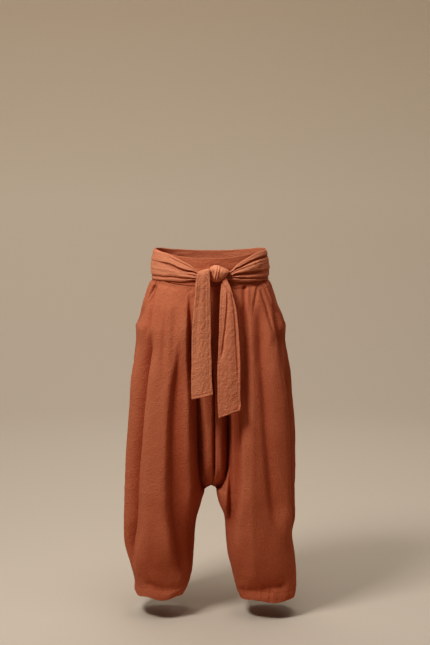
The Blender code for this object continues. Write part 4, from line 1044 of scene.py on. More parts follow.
# Seams draw the cloth flat and leave a groove with a puckered ridge beside it
SEAM_FLAT = Ridge(0.8, 0.0, 0.005)
SEAM_GROOVE = Ridge(-0.0015, 0.0, 0.0030)
SEAM_RIDGE = Ridge(0.0008, 0.0065, 0.0032)
# The pocket mouth's rolled edge, its line of stitches and its waves
MOUTH_ROLL = Ridge(0.0016, 0.0, 0.0045)
MOUTH_LINE = Ridge(-0.0014, 0.0095, 0.0022)
MOUTH_WAVES = Noise(0.6, 0.02, 0.006, 50)
# Gathers below the waistband: height, share of it on each face, where they start and end
GATHER_STRAY = Noise(0.6, 0.03, 0.05, 60)
GATHERS = Noise(1.0, 0.0085, 0.09, 70)
GATHER_HEIGHT = 0.0016
GATHER_SHARE = {Face.FRONT: 0.8, Face.BACK: 1.4}
GATHER_START = 0.008
GATHER_END = 0.085
# Tucks above the hem, and the hem's swell and line of stitches
TUCKS = (Noise(1.0, 0.0075, 0.045, 80), Noise(0.6, 0.0036, 0.03, 90))
TUCK_HEIGHT = 0.0010
TUCK_REACH = 0.040
TUCK_FADE = 0.010
TUCK_AT_HEM = 0.35
HEM_SWELL = 0.0005
HEM_LINE = Ridge(-0.0009, 0.022, 0.0019)
# Where the panels are worn pale: the hem's edge, the seams' inner and outer edge
HEM_WEAR = Ridge(0.16, 0.0, 0.003)
SEAM_WEAR = (Ridge(0.10, 0.006, 0.003), Ridge(0.10, 0.004, 0.003))


@dataclass
class TrouserPanel:
    """One panel: the front or back of one leg, from the waistband to the turned-in hem."""

    form: PanelForm
    columns: int
    thickness: float = 0.0009
    hem_height: float = 0.022
    hem_rows: int = 8
    casing_turn: float = 0.0011
    line_end: float = 0.004
    cloth: Cloth = field(init=False)
    runs: Array = field(init=False)
    rests: Array = field(init=False)
    from_outseam: Array = field(init=False)
    levels: Array = field(init=False)

    @property
    def name(self) -> str:
        """Return the name of the panel's solid."""
        return f"{self.form.side.value}_{self.form.face.value}_panel"

    @property
    def turn(self) -> float:
        """Return which way round the grid faces out."""
        return -self.form.side.sign * self.form.face.outward

    @property
    def is_front(self) -> bool:
        """Return whether this is a front."""
        return self.form.face is Face.FRONT

    def lay_out(self) -> None:
        """Lay the panel's grid on its form, with relief along the normals."""
        self.levels = levels_through(PANEL_BANDS)
        form = self.form
        mouths = [mouth_width(level) if self.is_front else 0.0 for level in self.levels]
        rows = [form.column_runs(level, mouth, self.columns) for level, mouth in zip(self.levels, mouths)]
        self.runs = np.array(rows)
        lengths = np.array([form.length(level) for level in self.levels])
        self.from_outseam = lengths[:, None] - self.runs
        self.rests = self.from_outseam - np.array(mouths)[:, None]
        points = np.stack([form.row(runs, level) for runs, level in zip(rows, self.levels)])
        points[:, 0, 0] = form.side.sign * np.maximum(form.side.sign * points[:, 0, 0], HALF_GAP)
        points[:, 0, 1] = form.face.outward * np.maximum(form.face.outward * points[:, 0, 1], HALF_GAP)
        if self.is_front:
            lean = between(SEAM_LEAN_LEVELS, self.levels, SEAM_LEAN)
            points[..., 0] += lean[:, None] * bell(points[..., 0], SEAM_LEAN_WIDTH)
        normals = grid_normals(points, self.turn)
        middle = self.levels <= CROTCH_DROP + TINY
        normals[middle, 0, 0] = 0.0
        normals[np.abs(self.levels - CROTCH_DROP) < TINY, 0] = (0.0, 0.0, -1.0)
        normals[~middle, 0, 1] = 0.0
        normals[self.levels > MOUTH_END, -1, 1] = 0.0
        uv = np.stack([self.from_outseam, np.broadcast_to(self.levels[:, None], self.runs.shape)], axis=-1)
        self.cloth = Cloth(points, unit(normals), uv).lifted(self.relief())

    def relief(self) -> Array:
        """Return how far seams, gathers, hem and crinkle move the cloth out."""
        level = np.broadcast_to(self.levels[:, None], self.runs.shape)
        seed = 11 + 2 * (self.form.side is Side.LEFT) + (self.form.face is Face.BACK)
        u, v = self.from_outseam, level
        total = DENTS.read(u + DRIFT.read(u, v, seed), v, seed)
        total += WIDE_CRINKLE.read(u, v, seed)
        total += FINE_CRINKLE.read(u, v, seed)
        open_edge = level < MOUTH_END if self.is_front else np.zeros(level.shape, dtype=bool)
        for away, shut in ((self.runs, np.ones(level.shape)), (self.rests, ~open_edge)):
            total = total * (1.0 - SEAM_FLAT.at(away) * shut)
            pucker = LEAST_PUCKER + (1.0 - LEAST_PUCKER) * (0.5 + PUCKERS.read(away, v, seed))
            total += shut * (SEAM_GROOVE.at(away) + SEAM_RIDGE.at(away, pucker))
        drawn_in = OUTSEAM_PINCH[self.form.side] * bell(u, PINCH_WIDTH[self.form.face])
        total -= between(PINCH_LEVELS, level) * drawn_in
        edge = open_edge * (MOUTH_ROLL.at(self.rests) + MOUTH_LINE.at(self.rests))
        total += edge * (1.0 + MOUTH_WAVES.read(u, v, seed))
        top, low = level - self.levels[0], self.levels[-1] - level
        gathers = GATHERS.read(u, v, seed, GATHER_STRAY.read(u, v, seed))
        gathers = GATHER_HEIGHT * GATHER_SHARE[self.form.face] * gathers
        total += gathers * smooth_step(top / GATHER_START) * (1.0 - smooth_step(top / GATHER_END))
        tucks = TUCK_HEIGHT * (TUCKS[0].read(u, v, seed) + TUCKS[1].read(u, v, seed))
        tucks = tucks * (1.0 - smooth_step((low - self.hem_height) / TUCK_REACH))
        total += tucks * smooth_step(low / TUCK_FADE + TUCK_AT_HEM)
        half = 0.5 * self.hem_height
        total += HEM_SWELL * bell(low - half, half) + HEM_LINE.at(low)
        return total

    def with_hem(self) -> Cloth:
        """Return the grid with the hem turned up inside."""
        level_normal = unit(self.cloth.normals[-1] * np.array([1.0, 1.0, 0.0]))
        climbs = np.linspace(0.0, self.hem_height, self.hem_rows + 1)[1:]
        rows = np.interp(self.levels[-1] - climbs, self.levels, np.arange(len(self.levels)))
        down, onward = np.array([0.0, 0.0, -1.0]), np.array([0.0, 1.0])
        return self.cloth.turned_back(level_normal, down, onward, self.casing_turn, climbs, rows)

    def wear_and_painted_shading(self, rows: int) -> Array:
        """Return how much paler the cloth is worn at its seams, edges and hem, with painted shade in the
        folds' valleys and painted highlight on their ridges.
        """
        level = np.broadcast_to(self.levels[:, None], self.runs.shape)
        pale = HEM_WEAR.at(self.levels[-1] - level)
        pale += SEAM_WEAR[0].at(self.runs) + SEAM_WEAR[1].at(self.rests)
        padded = np.zeros((rows, self.columns))
        folds = np.array([self.form.folds[level] for level in self.levels])
        # The folds' depths add painted shade in valleys and painted highlight on ridges
        padded[: len(self.levels)] = pale + np.clip(folds * FOLD_PAINTED_SHADING, *FOLD_PAINTED_SHADING_RANGE)
        return padded

    def build(self, material: bpy.types.Material) -> bpy.types.Object:
        """Build the panel.

        Args:
            material: The trousers' linen.

        Returns:
            The finished piece.
        """
        grid = self.with_hem()
        wear_and_painted_shading = self.wear_and_painted_shading(grid.points.shape[0])
        piece = sheet_piece(self.name, grid, self.turn, wear_and_painted_shading, self.thickness, material)
        settle(piece, self.name)
        length = float(self.levels[-1] - self.levels[0] + self.hem_height)
        width = float(self.runs.max() - self.runs.min())
        LOG.info("%s: %.3f square metres, %.3f by %.3f", self.name, grid.area(), width, length)
        return piece

    def along_edge(self, inset: float, first: float, last: float, step: float) -> tuple[Array, Array]:
        """Return points and normals that run down beside the panel's outer edge.

        Args:
            inset: Distance from the edge.
            first: Level of the first point.
            last: Level of the last point.
            step: Distance between points.

        Returns:
            Points and normals.
        """
        levels = np.arange(first, last, step)
        rows = np.interp(levels, self.levels, np.arange(len(self.levels)))
        numbers = np.arange(self.columns, dtype=float)
        columns = [np.interp(-inset, -self.rests[int(round(row))], numbers) for row in rows]
        return self.cloth.read(rows, np.array(columns))

    def across_level(self, level: float, step: float) -> tuple[Array, Array]:
        """Return points and normals that run across the panel at one level."""
        row = float(np.interp(level, self.levels, np.arange(len(self.levels))))
        runs = self.runs[int(round(row))]
        at = np.arange(runs[0] + self.line_end, runs[-1] - self.line_end, step)
        columns = np.interp(at, runs, np.arange(self.columns, dtype=float))
        return self.cloth.read(np.full(len(at), row), columns)


@dataclass
class PocketFacing:
    """The cloth behind a slanted pocket mouth, seated under the front and the back.

    Args:
        front: The front panel it lies behind.
        back: The back panel it lies under.
        depth: How deep it lies under the front.
        slit: Distance from the front's edge over which it stays that deep.
        rise: Distance over which it then comes up.
        proud: How deep it lies in the open mouth, negative where it stands out.
        shallow: How deep it lies at the outseam, at least.
        seam_reach: Distance from the outseam at which it begins to sink to that.
        seam_ease: Distance over which it does.
        under_front: How far it runs on under the front.
        under_back: How far it runs on under the back.
        short: How far above the mouth's lower end it stops.
        columns: How many columns of points it has.
        width: Its width on the flat cloth.
        thickness: The cloth's thickness.
        dents: Its relief.
        pale: How much paler it is than the panels.
    """

    front: TrouserPanel
    back: TrouserPanel
    depth: float = 0.0065
    slit: float = 0.0025
    rise: float = 0.0035
    proud: float = -0.0012
    shallow: float = 0.0021
    seam_reach: float = 0.012
    seam_ease: float = 0.008
    under_front: float = 0.020
    under_back: float = 0.008
    short: float = 0.003
    columns: int = 34
    width: float = 0.066
    thickness: float = 0.0008
    dents: Noise = Noise(0.0005, 0.012, 0.03, 77)
    pale: float = -0.1

    @property
    def name(self) -> str:
        """Return the name of the facing's solid."""
        return f"{self.front.form.side.value}_pocket_facing"

    def build(self, material: bpy.types.Material) -> bpy.types.Object:
        """Build the facing.

        Args:
            material: The trousers' linen.

        Returns:
            The finished piece.
        """
        form, behind = self.front.form, self.back.form
        levels = self.front.levels[self.front.levels <= MOUTH_END - self.short]
        mouths = [mouth_width(level) for level in levels]
        rows, beyond = [], []
        for level, mouth in zip(levels, mouths):
            span = self.under_front + mouth + self.under_back
            at = np.linspace(0.0, span, self.columns) - self.under_front - mouth
            ahead = form.row(form.length(level) + np.minimum(at, 0.0), level)
            after = behind.row(behind.length(level) - np.maximum(at, 0.0), level)
            rows.append(np.where((at <= 0.0)[:, None], ahead, after))
            beyond.append(at + mouth)
        points, sunk_at = np.array(rows), np.array(beyond)
        normals = grid_normals(points, form.side.sign)
        u = np.broadcast_to(np.linspace(0.0, self.width, self.columns), points.shape[:2])
        v = np.broadcast_to(levels[:, None], points.shape[:2])
        risen = smooth_step((sunk_at - self.slit) / self.rise)
        sunk = self.proud + (self.depth - self.proud) * (1.0 - risen)
        to_seam = smooth_step((sunk_at - np.array(mouths)[:, None] + self.seam_reach) / self.seam_ease)
        sunk = sunk + (np.maximum(self.shallow, sunk) - sunk) * to_seam
        relief = -sunk + self.dents.read(u, v)
        cloth = Cloth(points, normals, np.stack([u, v], axis=-1)).lifted(relief)
        wear_and_painted_shading = np.full(points.shape[:2], self.pale)
        piece = sheet_piece(self.name, cloth, form.side.sign, wear_and_painted_shading, self.thickness, material)
        settle(piece, self.name)
        LOG.info("%s: %.4f square metres", self.name, cloth.area())
        return piece


@dataclass
class WaistForm:
    """The smooth form of the waist that the waistband and the sash lie on."""

    forms: dict[Key, PanelForm]
    step: float = 0.0025
    last: float = 0.110
    shares: int = 181
    lattices: dict[Key, Array] = field(init=False)

    def __post_init__(self) -> None:
        """Table the smooth form of each quarter."""
        levels = np.arange(0.0, self.last, self.step)
        shares = np.linspace(0.0, 1.0, self.shares)
        self.lattices = {
            key: np.stack([form.row(shares * form.length(level), level, folded=False) for level in levels])
            for key, form in self.forms.items()
        }

    def at(self, key: Key, shares: Array, levels: Array) -> Array:
        """Return points of one quarter at shares of its width and levels below the top edge."""
        shares, levels = np.broadcast_arrays(shares, levels)
        found = read_grid(self.lattices[key], levels.ravel() / self.step, shares.ravel() * (self.shares - 1))
        return found.reshape(*shares.shape, 3)

    def run(
        self, starts: dict[Side, float], counts: dict[Face, int], closed: bool
    ) -> list[tuple[Key, Array]]:
        """Return the quarters round the waist from the front middle by the left side.

        Args:
            starts: Share at which each front begins.
            counts: How many steps each quarter has.
            closed: Whether the run is a ring.

        Returns:
            Pairs of a quarter's key and its shares.
        """
        quarters = []
        round_waist = ((Side.LEFT, Face.FRONT), (Side.LEFT, Face.BACK), (Side.RIGHT, Face.BACK),
                       (Side.RIGHT, Face.FRONT))
        for place, (side, face) in enumerate(round_waist):
            first = starts[side] if face is Face.FRONT else 0.0
            shares = np.linspace(first, 1.0, counts[face] + 1)
            if place in (1, 3):
                shares = shares[::-1]
            shares = shares[1:] if place else shares
            if closed and place == 3:
                shares = shares[:-1]
            quarters.append(((side, face), shares))
        return quarters


# The waistband's ripples on its face and its top edge, its worn top edge, and the painted light that makes
# its inner face paler
BAND_RIPPLES = (Noise(0.0007, 0.022, 0.0065, 91), Noise(0.0004, 0.009, 0.006, 93))
BAND_FADE = 0.006
INNER_RIPPLE = -0.8
TOP_WAVES = Noise(0.0006, 0.03, 1.0, 92)
TOP_WAVE_REACH = 0.006
BAND_LINE = 0.0006
BAND_LINE_WIDTH = 0.0013
BAND_WEAR = Ridge(0.22, 0.0, 0.0022)
INNER_PAINTED_LIGHT = 0.40


@dataclass
class Waistband:
    """The waistband: a folded band with its top edge stitched."""

    waist: WaistForm
    wall: float = 0.0026
    side_rows: int = 27
    top_rows: int = 7
    counts: dict[Face, int] = field(default_factory=lambda: {Face.FRONT: 110, Face.BACK: 90})
    stitch_drop: float = 0.0055
    ring: Array = field(init=False)
    ring_normals: Array = field(init=False)

    def outline(self) -> list[tuple[float, float]]:
        """Return the band's section: level and depth below its outer face, all round."""
        half = self.wall / 2.0
        outer = [(float(level), 0.0) for level in np.linspace(BAND_HEIGHT, half, self.side_rows)[1:]]
        angles = np.linspace(0.0, np.pi, self.top_rows)[1:-1]
        top = [(half * (1.0 - math.sin(angle)), half * (1.0 - math.cos(angle))) for angle in angles]
        inner = [(float(level), self.wall) for level in np.linspace(half, BAND_HEIGHT, self.side_rows)]
        return outer + top + inner + [(BAND_HEIGHT, half)]

    def build(self, material: bpy.types.Material) -> bpy.types.Object:
        """Build the waistband.

        Args:
            material: The trousers' linen.

        Returns:
            The finished piece.
        """
        quarters = self.waist.run({Side.RIGHT: 0.0, Side.LEFT: 0.0}, self.counts, closed=True)
        rows, normals = [], []
        level, depth = (np.array(part)[:, None] for part in zip(*self.outline()))
        for at in level[:, 0]:
            ring = np.concatenate([self.waist.at(key, shares, np.array(at)) for key, shares in quarters])
            rows.append(ring)
            ahead = np.roll(ring, -1, axis=0) - np.roll(ring, 1, axis=0)
            normals.append(unit(np.stack([ahead[:, 1], -ahead[:, 0], np.zeros(len(ring))], axis=1)))
        points, normals = np.array(rows), np.array(normals)
        run = run_length(points[0])
        outer = depth < self.wall * 0.5
        ripple = BAND_RIPPLES[0].read(run, level) + BAND_RIPPLES[1].read(run, level)
        ripple = ripple * smooth_step(level / BAND_FADE)
        ripple = ripple - BAND_LINE * bell(level - self.stitch_drop, BAND_LINE_WIDTH)
        points = points + normals * (np.where(outer, ripple, INNER_RIPPLE * ripple) - depth)[..., None]
        points[..., 2] += TOP_WAVES.read(run, 0.0) * bell(level, TOP_WAVE_REACH)
        uv = np.stack(np.broadcast_arrays(run, level + depth * 4.0), axis=-1)
        # The inner face is painted paler: painted light
        wear_and_painted_shading = np.broadcast_to(BAND_WEAR.at(level) + INNER_PAINTED_LIGHT * ~outer, points.shape[:2])
        count, columns = points.shape[:2]
        faces = grid_faces(count + 1, columns, -1.0, ring=True)
        wrapped = [tuple(index % (count * columns) for index in face) for face in faces]
        points_run, uv = points.reshape(-1, 3), uv.reshape(-1, 2)
        piece = mesh_piece("waistband", points_run, wrapped, uv, wear_and_painted_shading.ravel(), material)
        settle(piece, "waistband")
        near = int(np.argmin(np.abs(level - self.stitch_drop + 10.0 * depth)))
        self.ring, self.ring_normals = points[near], normals[near]
        LOG.info("waistband: %.3f metres round", run[-1])
        return piece


def turned_under(cloth: Cloth, reach: float, radius: float, steps: int) -> Cloth:
    """Return a sheet with its last edge folded in behind it.

    Args:
        cloth: The sheet.
        reach: How far the folded part runs back.
        radius: Radius of the fold.
        steps: How many rows the folded part has.

    Returns:
        The sheet with the rows of the fold added.
    """
    ahead, onward = (unit(values[-1] - values[-3]) for values in (cloth.points, cloth.uv))
    back = run_length(cloth.points[::-1].mean(axis=1))
    climbs = np.linspace(0.0, reach, steps + 1)[1:]
    rows = len(back) - 1.0 - np.interp(climbs, back, np.arange(len(back)))
    return cloth.turned_back(cloth.normals[-1], ahead, onward, radius, climbs, rows)


# Grooves between the sash's pleats: (across, place down the sash) pairs from the knot, the half
# widths above and below as shares of its height, the depth, how far it reaches and what goes on
Pleat = namedtuple("Pleat", "path above below depth reach far")
PLEATS = {
    Side.RIGHT: (
        Pleat(((0.0, 0.26), (0.036, 0.26), (0.065, 0.4), (0.11, 0.36), (0.15, 0.37)),
             0.022, 0.1, 0.01, 0.15, 0.1),
        Pleat(((0.0, 0.1), (0.05, 0.13), (0.1, 0.11), (0.15, 0.1)), 0.03, 0.04, 0.003, 0.125, 0.1),
        Pleat(((0.0, 0.56), (0.036, 0.56), (0.06, 0.62), (0.15, 0.66)), 0.035, 0.05, 0.004, 0.09, 0.1),
        Pleat(((0.0, 0.5), (0.07, 0.54), (0.11, 0.52), (0.15, 0.52)), 0.05, 0.05, 0.0018, 0.14, 0.2),
        Pleat(((0.0, 0.8), (0.04, 0.82), (0.09, 0.84), (0.125, 0.88), (0.15, 0.89)),
             0.03, 0.03, 0.011, 0.175, 0.35),
    ),
    Side.LEFT: (
        Pleat(((0.0, 0.16), (0.055, 0.17), (0.078, 0.22), (0.105, 0.2), (0.15, 0.21)),
             0.022, 0.05, 0.01, 0.19, 0.2),
        Pleat(((0.0, 0.36), (0.045, 0.38), (0.055, 0.45), (0.078, 0.54), (0.105, 0.617), (0.15, 0.66)),
             0.022, 0.08, 0.0105, 0.15, 0.05),
        Pleat(((0.0, 0.28), (0.055, 0.31), (0.09, 0.36), (0.15, 0.38)), 0.03, 0.04, 0.003, 0.115, 0.15),
        Pleat(((0.0, 0.55), (0.055, 0.6), (0.08, 0.67), (0.12, 0.74), (0.15, 0.76)),
             0.03, 0.04, 0.003, 0.14, 0.15),
        Pleat(((0.0, 0.66), (0.055, 0.7), (0.078, 0.8), (0.105, 0.87), (0.15, 0.93)),
             0.03, 0.035, 0.01, 0.18, 0.25),
    ),
}
# The sash's relief: small folds along it, crinkle, dents, and waves of its edges
SASH_FOLD_RUNS = (0.055, 0.035)
SASH_FOLD_ROWS = (13.0, 25.0)
SASH_FINER = 0.6
SASH_FOLD_HEIGHT = 0.0006
SASH_FOLD_MORE = 0.0008
SASH_CRINKLE = Noise(0.0005, 0.008, 0.011, 203, lean=-1.0, climb=0.6)
SASH_DENTS = Noise(0.0008, 0.045, 0.03, 204)
SASH_WAVES = 0.0010
SASH_WAVE_RUN = 0.028
SASH_WAVE_ROWS = 1.5
SASH_WAVES_TIED = 0.7


@dataclass
class SashWrap:
    """The stretch of the sash from the knot round the back to the knot, drawn into pleats."""

    waist: WaistForm
    rows: int = 64
    thickness: float = 0.0011
    stand: float = 0.0036
    puff: float = 0.0055
    puff_power: float = 0.6
    starts: dict[Side, float] = field(default_factory=lambda: {Side.RIGHT: 0.006, Side.LEFT: 0.032})
    start_level: float = 0.07
    counts: dict[Face, int] = field(default_factory=lambda: {Face.FRONT: 112, Face.BACK: 96})
    back_edges: tuple[float, float] = (0.006, 0.087)
    back_reach: float = 0.09
    back_ease: float = 0.05
    blend: float = 0.12
    pleat_reach: float = 0.150
    pleat_fade: float = 0.05
    knot_swell: float = 0.45
    swell_power: float = 0.6
    most: float = 1.10
    hem: float = 0.012
    hem_radius: float = 0.0010
    hem_rows: int = 8
    flat_width: float = 0.09
    edge_pale: Ridge = Ridge(0.15, 0.0, 0.03)
    # Painted shade in the grooves between pleats and painted highlight where they puff out, for each metre
    # the sash stands off beyond ridge_stand
    ridge_stand: float = 0.008
    pleat_painted_shading: float = 70.0
    pleat_painted_shading_range: tuple[float, float] = (-0.5, 0.15)

    def edges(self, key: Key, across: Array) -> tuple[Array, Array]:
        """Return the drops of the sash's top and bottom edge."""
        side, face = key
        places, tops, bottoms = zip(*SASH_EDGES[side])
        if face is Face.FRONT:
            return smooth_through(places, tops, across), smooth_through(places, bottoms, across)
        reach = smooth_step((across - self.back_reach) / self.back_ease)
        top, bottom = self.back_edges[0] + DIP[Face.BACK], self.back_edges[1]
        return top + (tops[-1] - top) * reach, bottom + (bottoms[-1] - bottom) * reach

    def side_stand(self, side: Side, face: Face, across: Array, place: Array) -> Array:
        """Return how far one side's pleats stand off the waistband."""
        puff = self.puff * np.sin(np.pi * np.clip(place, 0.0, 1.0)) ** self.puff_power
        near_knot = 1.0 - smooth_step(across / self.pleat_reach) if face is Face.FRONT else 0.0
        near_knot = np.broadcast_to(near_knot, place.shape) ** self.swell_power
        puff = puff * (1.0 + self.knot_swell * near_knot**3)
        grooves = np.zeros(place.shape)
        for pleat in PLEATS[side]:
            away = place - smooth_through(*zip(*pleat.path), across)
            goes_on = smooth_step((pleat.reach - across) / self.pleat_fade) if face is Face.FRONT else 0.0
            strength = pleat.far + (1.0 - pleat.far) * goes_on
            grooves = grooves + pleat.depth * strength * uneven_bell(away, pleat.above, pleat.below)
        return self.stand + puff - np.minimum(grooves, puff * self.most)

    def stands(self, key: Key, across: Array, place: Array) -> Array:
        """Return how far the sash stands off, eased from side to side at the back."""
        side, face = key
        own = self.side_stand(side, face, across, place)
        if face is Face.FRONT:
            return own
        other = self.side_stand(side.other, face, across, place)
        share = 0.5 * (1.0 - smooth_step(across / self.blend))
        return own * (1.0 - share) + other * share

    def build(self, material: bpy.types.Material) -> bpy.types.Object:
        """Build the sash's wrap.

        Args:
            material: The sash's linen.

        Returns:
            The finished piece.
        """
        starts = {
            side: start / self.waist.forms[side, Face.FRONT].length(self.start_level)
            for side, start in self.starts.items()
        }
        place = np.linspace(0.0, 1.0, self.rows)[:, None]
        parts, stands, near = [], [], []
        for key, shares in self.waist.run(starts, self.counts, closed=False):
            at_top = self.waist.at(key, shares, np.zeros(1))
            across = np.abs(at_top[:, 0])
            top, bottom = self.edges(key, across)
            level = top + (bottom - top) * place + at_top[:, 2]
            parts.append(self.waist.at(key, np.broadcast_to(shares, level.shape), level))
            across = np.broadcast_to(across, level.shape)
            stands.append(self.stands(key, across, np.broadcast_to(place, level.shape)))
            is_front = key[1] is Face.FRONT
            near.append(1.0 - smooth_step(across / self.pleat_reach) if is_front else 0.0 * across)
        points, stand = np.concatenate(parts, axis=1), np.concatenate(stands, axis=1)
        near = np.concatenate(near, axis=1)
        ahead = np.gradient(points, axis=1)
        out = unit(np.stack([ahead[..., 1], -ahead[..., 0], np.zeros(stand.shape)], axis=-1))
        run = np.broadcast_to(run_length(points[self.rows // 2]), stand.shape)
        tall = np.linalg.norm(points[-1] - points[0], axis=-1)
        down = place * tall
        middle = np.sin(np.pi * place) ** 0.5
        long, short = (
            soft_noise(run / along, place * rows, 201 + number)
            for number, (along, rows) in enumerate(zip(SASH_FOLD_RUNS, SASH_FOLD_ROWS))
        )
        fine = long + SASH_FINER * short
        stand = stand + (SASH_FOLD_HEIGHT + SASH_FOLD_MORE * near) * fine * middle
        stand = stand + SASH_CRINKLE.read(run, down) * middle
        stand = stand + SASH_DENTS.read(run, down) * middle
        points = points + out * stand[..., None]
        waves = SASH_WAVES * soft_noise(run / SASH_WAVE_RUN, place * SASH_WAVE_ROWS, 205)
        points[..., 2] += waves * (1.0 - SASH_WAVES_TIED * near)
        normals = grid_normals(points, 1.0)
        cloth = Cloth(points, normals, np.stack(np.broadcast_arrays(run, place * self.flat_width), axis=-1))
        for _ in range(2):
            cloth = turned_under(cloth, self.hem, self.hem_radius, self.hem_rows).upside_down()
        extra = (cloth.points.shape[0] - self.rows) // 2
        wear_and_painted_shading = np.zeros(cloth.points.shape[:2])
        # Worn pale edges, with painted shade in the pleats' grooves and painted highlight on their crowns
        edges = sum(bell(away, self.edge_pale.width) for away in (place, 1.0 - place))
        painted_pleat_shading = np.clip(self.pleat_painted_shading * (stand - self.ridge_stand), *self.pleat_painted_shading_range)
        wear_and_painted_shading[extra : extra + self.rows] = self.edge_pale.height * edges + painted_pleat_shading
        piece = sheet_piece("sash_wrap", cloth, 1.0, wear_and_painted_shading, self.thickness, material)
        settle(piece, "sash_wrap")
        LOG.info("sash_wrap: %.4f square metres, %.3f long", cloth.area(), run[0, -1])
        return piece


# The knot's outline round its middle: x and z
KNOT_OUTLINE = (
    (-0.0250, 0.0135), (-0.0175, 0.0195), (-0.001, 0.0205), (0.0090, 0.0160), (0.0240, 0.0095),
    (0.0300, 0.0040), (0.0220, -0.0080), (0.0094, -0.0190), (0.0000, -0.0240), (-0.0135, -0.0235),
    (-0.0240, -0.0160), (-0.0260, 0.0),
)
# The outline is evened over these turns
KNOT_TURNS = (-0.16, -0.08, 0.08, 0.16)
# The edge between pleats and strand: height and x
STRAND_EDGE = ((-0.022, -0.007, 0.008, 0.020), (-0.001, 0.001, 0.004, 0.007))
STRAND_EASE = 0.0030
PLEATS_PROUD = 0.0012
STRAND_GROOVE = Ridge(-0.0009, 0.0, 0.0015)
# Cosine and sine of the pleats' and the strand's lie
PLEAT_LIE = (0.96, 0.28)
STRAND_LIE = (0.78, 0.62)
KNOT_WAVER = Noise(0.35, 0.010, 0.007, 301)
KNOT_SIZES = Noise(0.35, 0.0060, 0.018, 302)
KNOT_CRINKLE = Noise(0.0005, 0.0016, 0.006, 303)
STRAND_DENTS = Noise(0.0010, 0.008, 0.03, 304)
# Painted shade in the knot's pleat valleys and painted highlight on their ridges, for each metre of relief,
# and the range
KNOT_PAINTED_SHADING = 160.0
KNOT_PAINTED_SHADING_RANGE = (-0.5, 0.2)


@dataclass
class SashKnot:
    """The knot: the cloth drawn tight over itself, with a smooth strand on its outer side."""

    waist: WaistForm
    centre: tuple[float, float] = (0.0215, 0.0605)
    bulge: float = 0.026
    seat: float = 0.0075
    rings: int = 64
    spokes: int = 150
    power: float = 0.8
    pleat_width: float = 0.0060
    pleat_depth: float = 0.0042
    pleat_level: float = 0.6
    thickness: float = 0.0011
    top: float = 0.02
    sweep: float = 0.60
    tuck: float = 0.18
    tuck_sweep: float = 0.1
    behind: float = 0.35
    relief_ease: float = 0.35
    uv_rise: float = 0.03

    def radius(self, angles: Array) -> Array:
        """Return the outline's distance from the knot's middle."""
        x, z = np.array(KNOT_OUTLINE).T
        turn = np.arctan2(z, x)
        order = np.argsort(turn)
        turn, size = turn[order], np.hypot(x, z)[order]
        turn = np.concatenate([turn - 2.0 * np.pi, turn, turn + 2.0 * np.pi])
        found = smooth_through(turn, np.tile(size, 3), angles)
        near = sum(smooth_through(turn, np.tile(size, 3), angles + away) for away in KNOT_TURNS)
        return (found + near) / (len(KNOT_TURNS) + 1.0)

    def relief(self, x: Array, z: Array) -> Array:
        """Return how far the pleats and strands move the knot's face out.

        Args:
            x: Distance from the knot's middle towards the wearer's left.
            z: Height above the knot's middle.

        Returns:
            The relief.
        """
        edge = np.interp(z, *STRAND_EDGE)
        on_strand = smooth_step((x - edge) / STRAND_EASE + 0.5)
        cos, sin = PLEAT_LIE
        across, along = cos * x - sin * z, sin * x + cos * z
        waver = KNOT_WAVER.read(along, across)
        pleats = 0.5 - 0.5 * np.cos(2.0 * np.pi * (across / self.pleat_width + waver))
        size = 1.0 - KNOT_SIZES.height + KNOT_SIZES.read(across, along)
        tight = self.pleat_depth * (pleats - self.pleat_level) * size + KNOT_CRINKLE.read(across, along)
        cos, sin = STRAND_LIE
        strand = STRAND_DENTS.read(cos * x - sin * z, sin * x + cos * z)
        off_strand = 1.0 - on_strand
        relief = tight * off_strand + strand * on_strand + PLEATS_PROUD * off_strand
        return relief + STRAND_GROOVE.at(x - edge)

    def build(self, material: bpy.types.Material) -> bpy.types.Object:
        """Build the knot.

        Args:
            material: The sash's linen.

        Returns:
            The finished piece.
        """
        lift = (np.linspace(self.top, 1.0, self.rings) * np.pi * self.sweep)[:, None]
        angles = np.linspace(0.0, 2.0 * np.pi, self.spokes + 1)[None, :-1]
        radius = np.sin(np.minimum(lift, np.pi / 2.0)) ** self.power * self.radius(angles)
        radius = radius * (1.0 - self.tuck * smooth_step((lift - np.pi / 2.0) / (np.pi * self.tuck_sweep)))
        x, z = radius * np.cos(angles), radius * np.sin(angles)
        drop = self.centre[1] - z
        seat = front_y(self.waist, x + self.centre[0], drop) - self.seat
        depth = np.cos(lift)
        out = self.bulge * np.where(depth > 0.0, depth, self.behind * depth)
        relief = self.relief(x, z) * smooth_step(depth / self.relief_ease)
        points = np.stack([x + self.centre[0], seat - out - relief, -drop], axis=-1)
        uv = np.stack([x, z + 0.3 * depth * self.uv_rise], axis=-1)
        faces = grid_faces(self.rings, self.spokes, -1.0, ring=True)
        faces.append(tuple(range(self.spokes)))
        # Painted shade in the pleats' valleys and painted highlight on their ridges
        wear_and_painted_shading = np.clip(relief * KNOT_PAINTED_SHADING, *KNOT_PAINTED_SHADING_RANGE)
        points, uv = points.reshape(-1, 3), uv.reshape(-1, 2)
        piece = mesh_piece("sash_knot", points, faces, uv, wear_and_painted_shading.ravel(), material)
        face_out(piece)
        give_wall(piece, self.thickness)
        settle(piece, "sash_knot")
        LOG.info("sash_knot: built")
        return piece


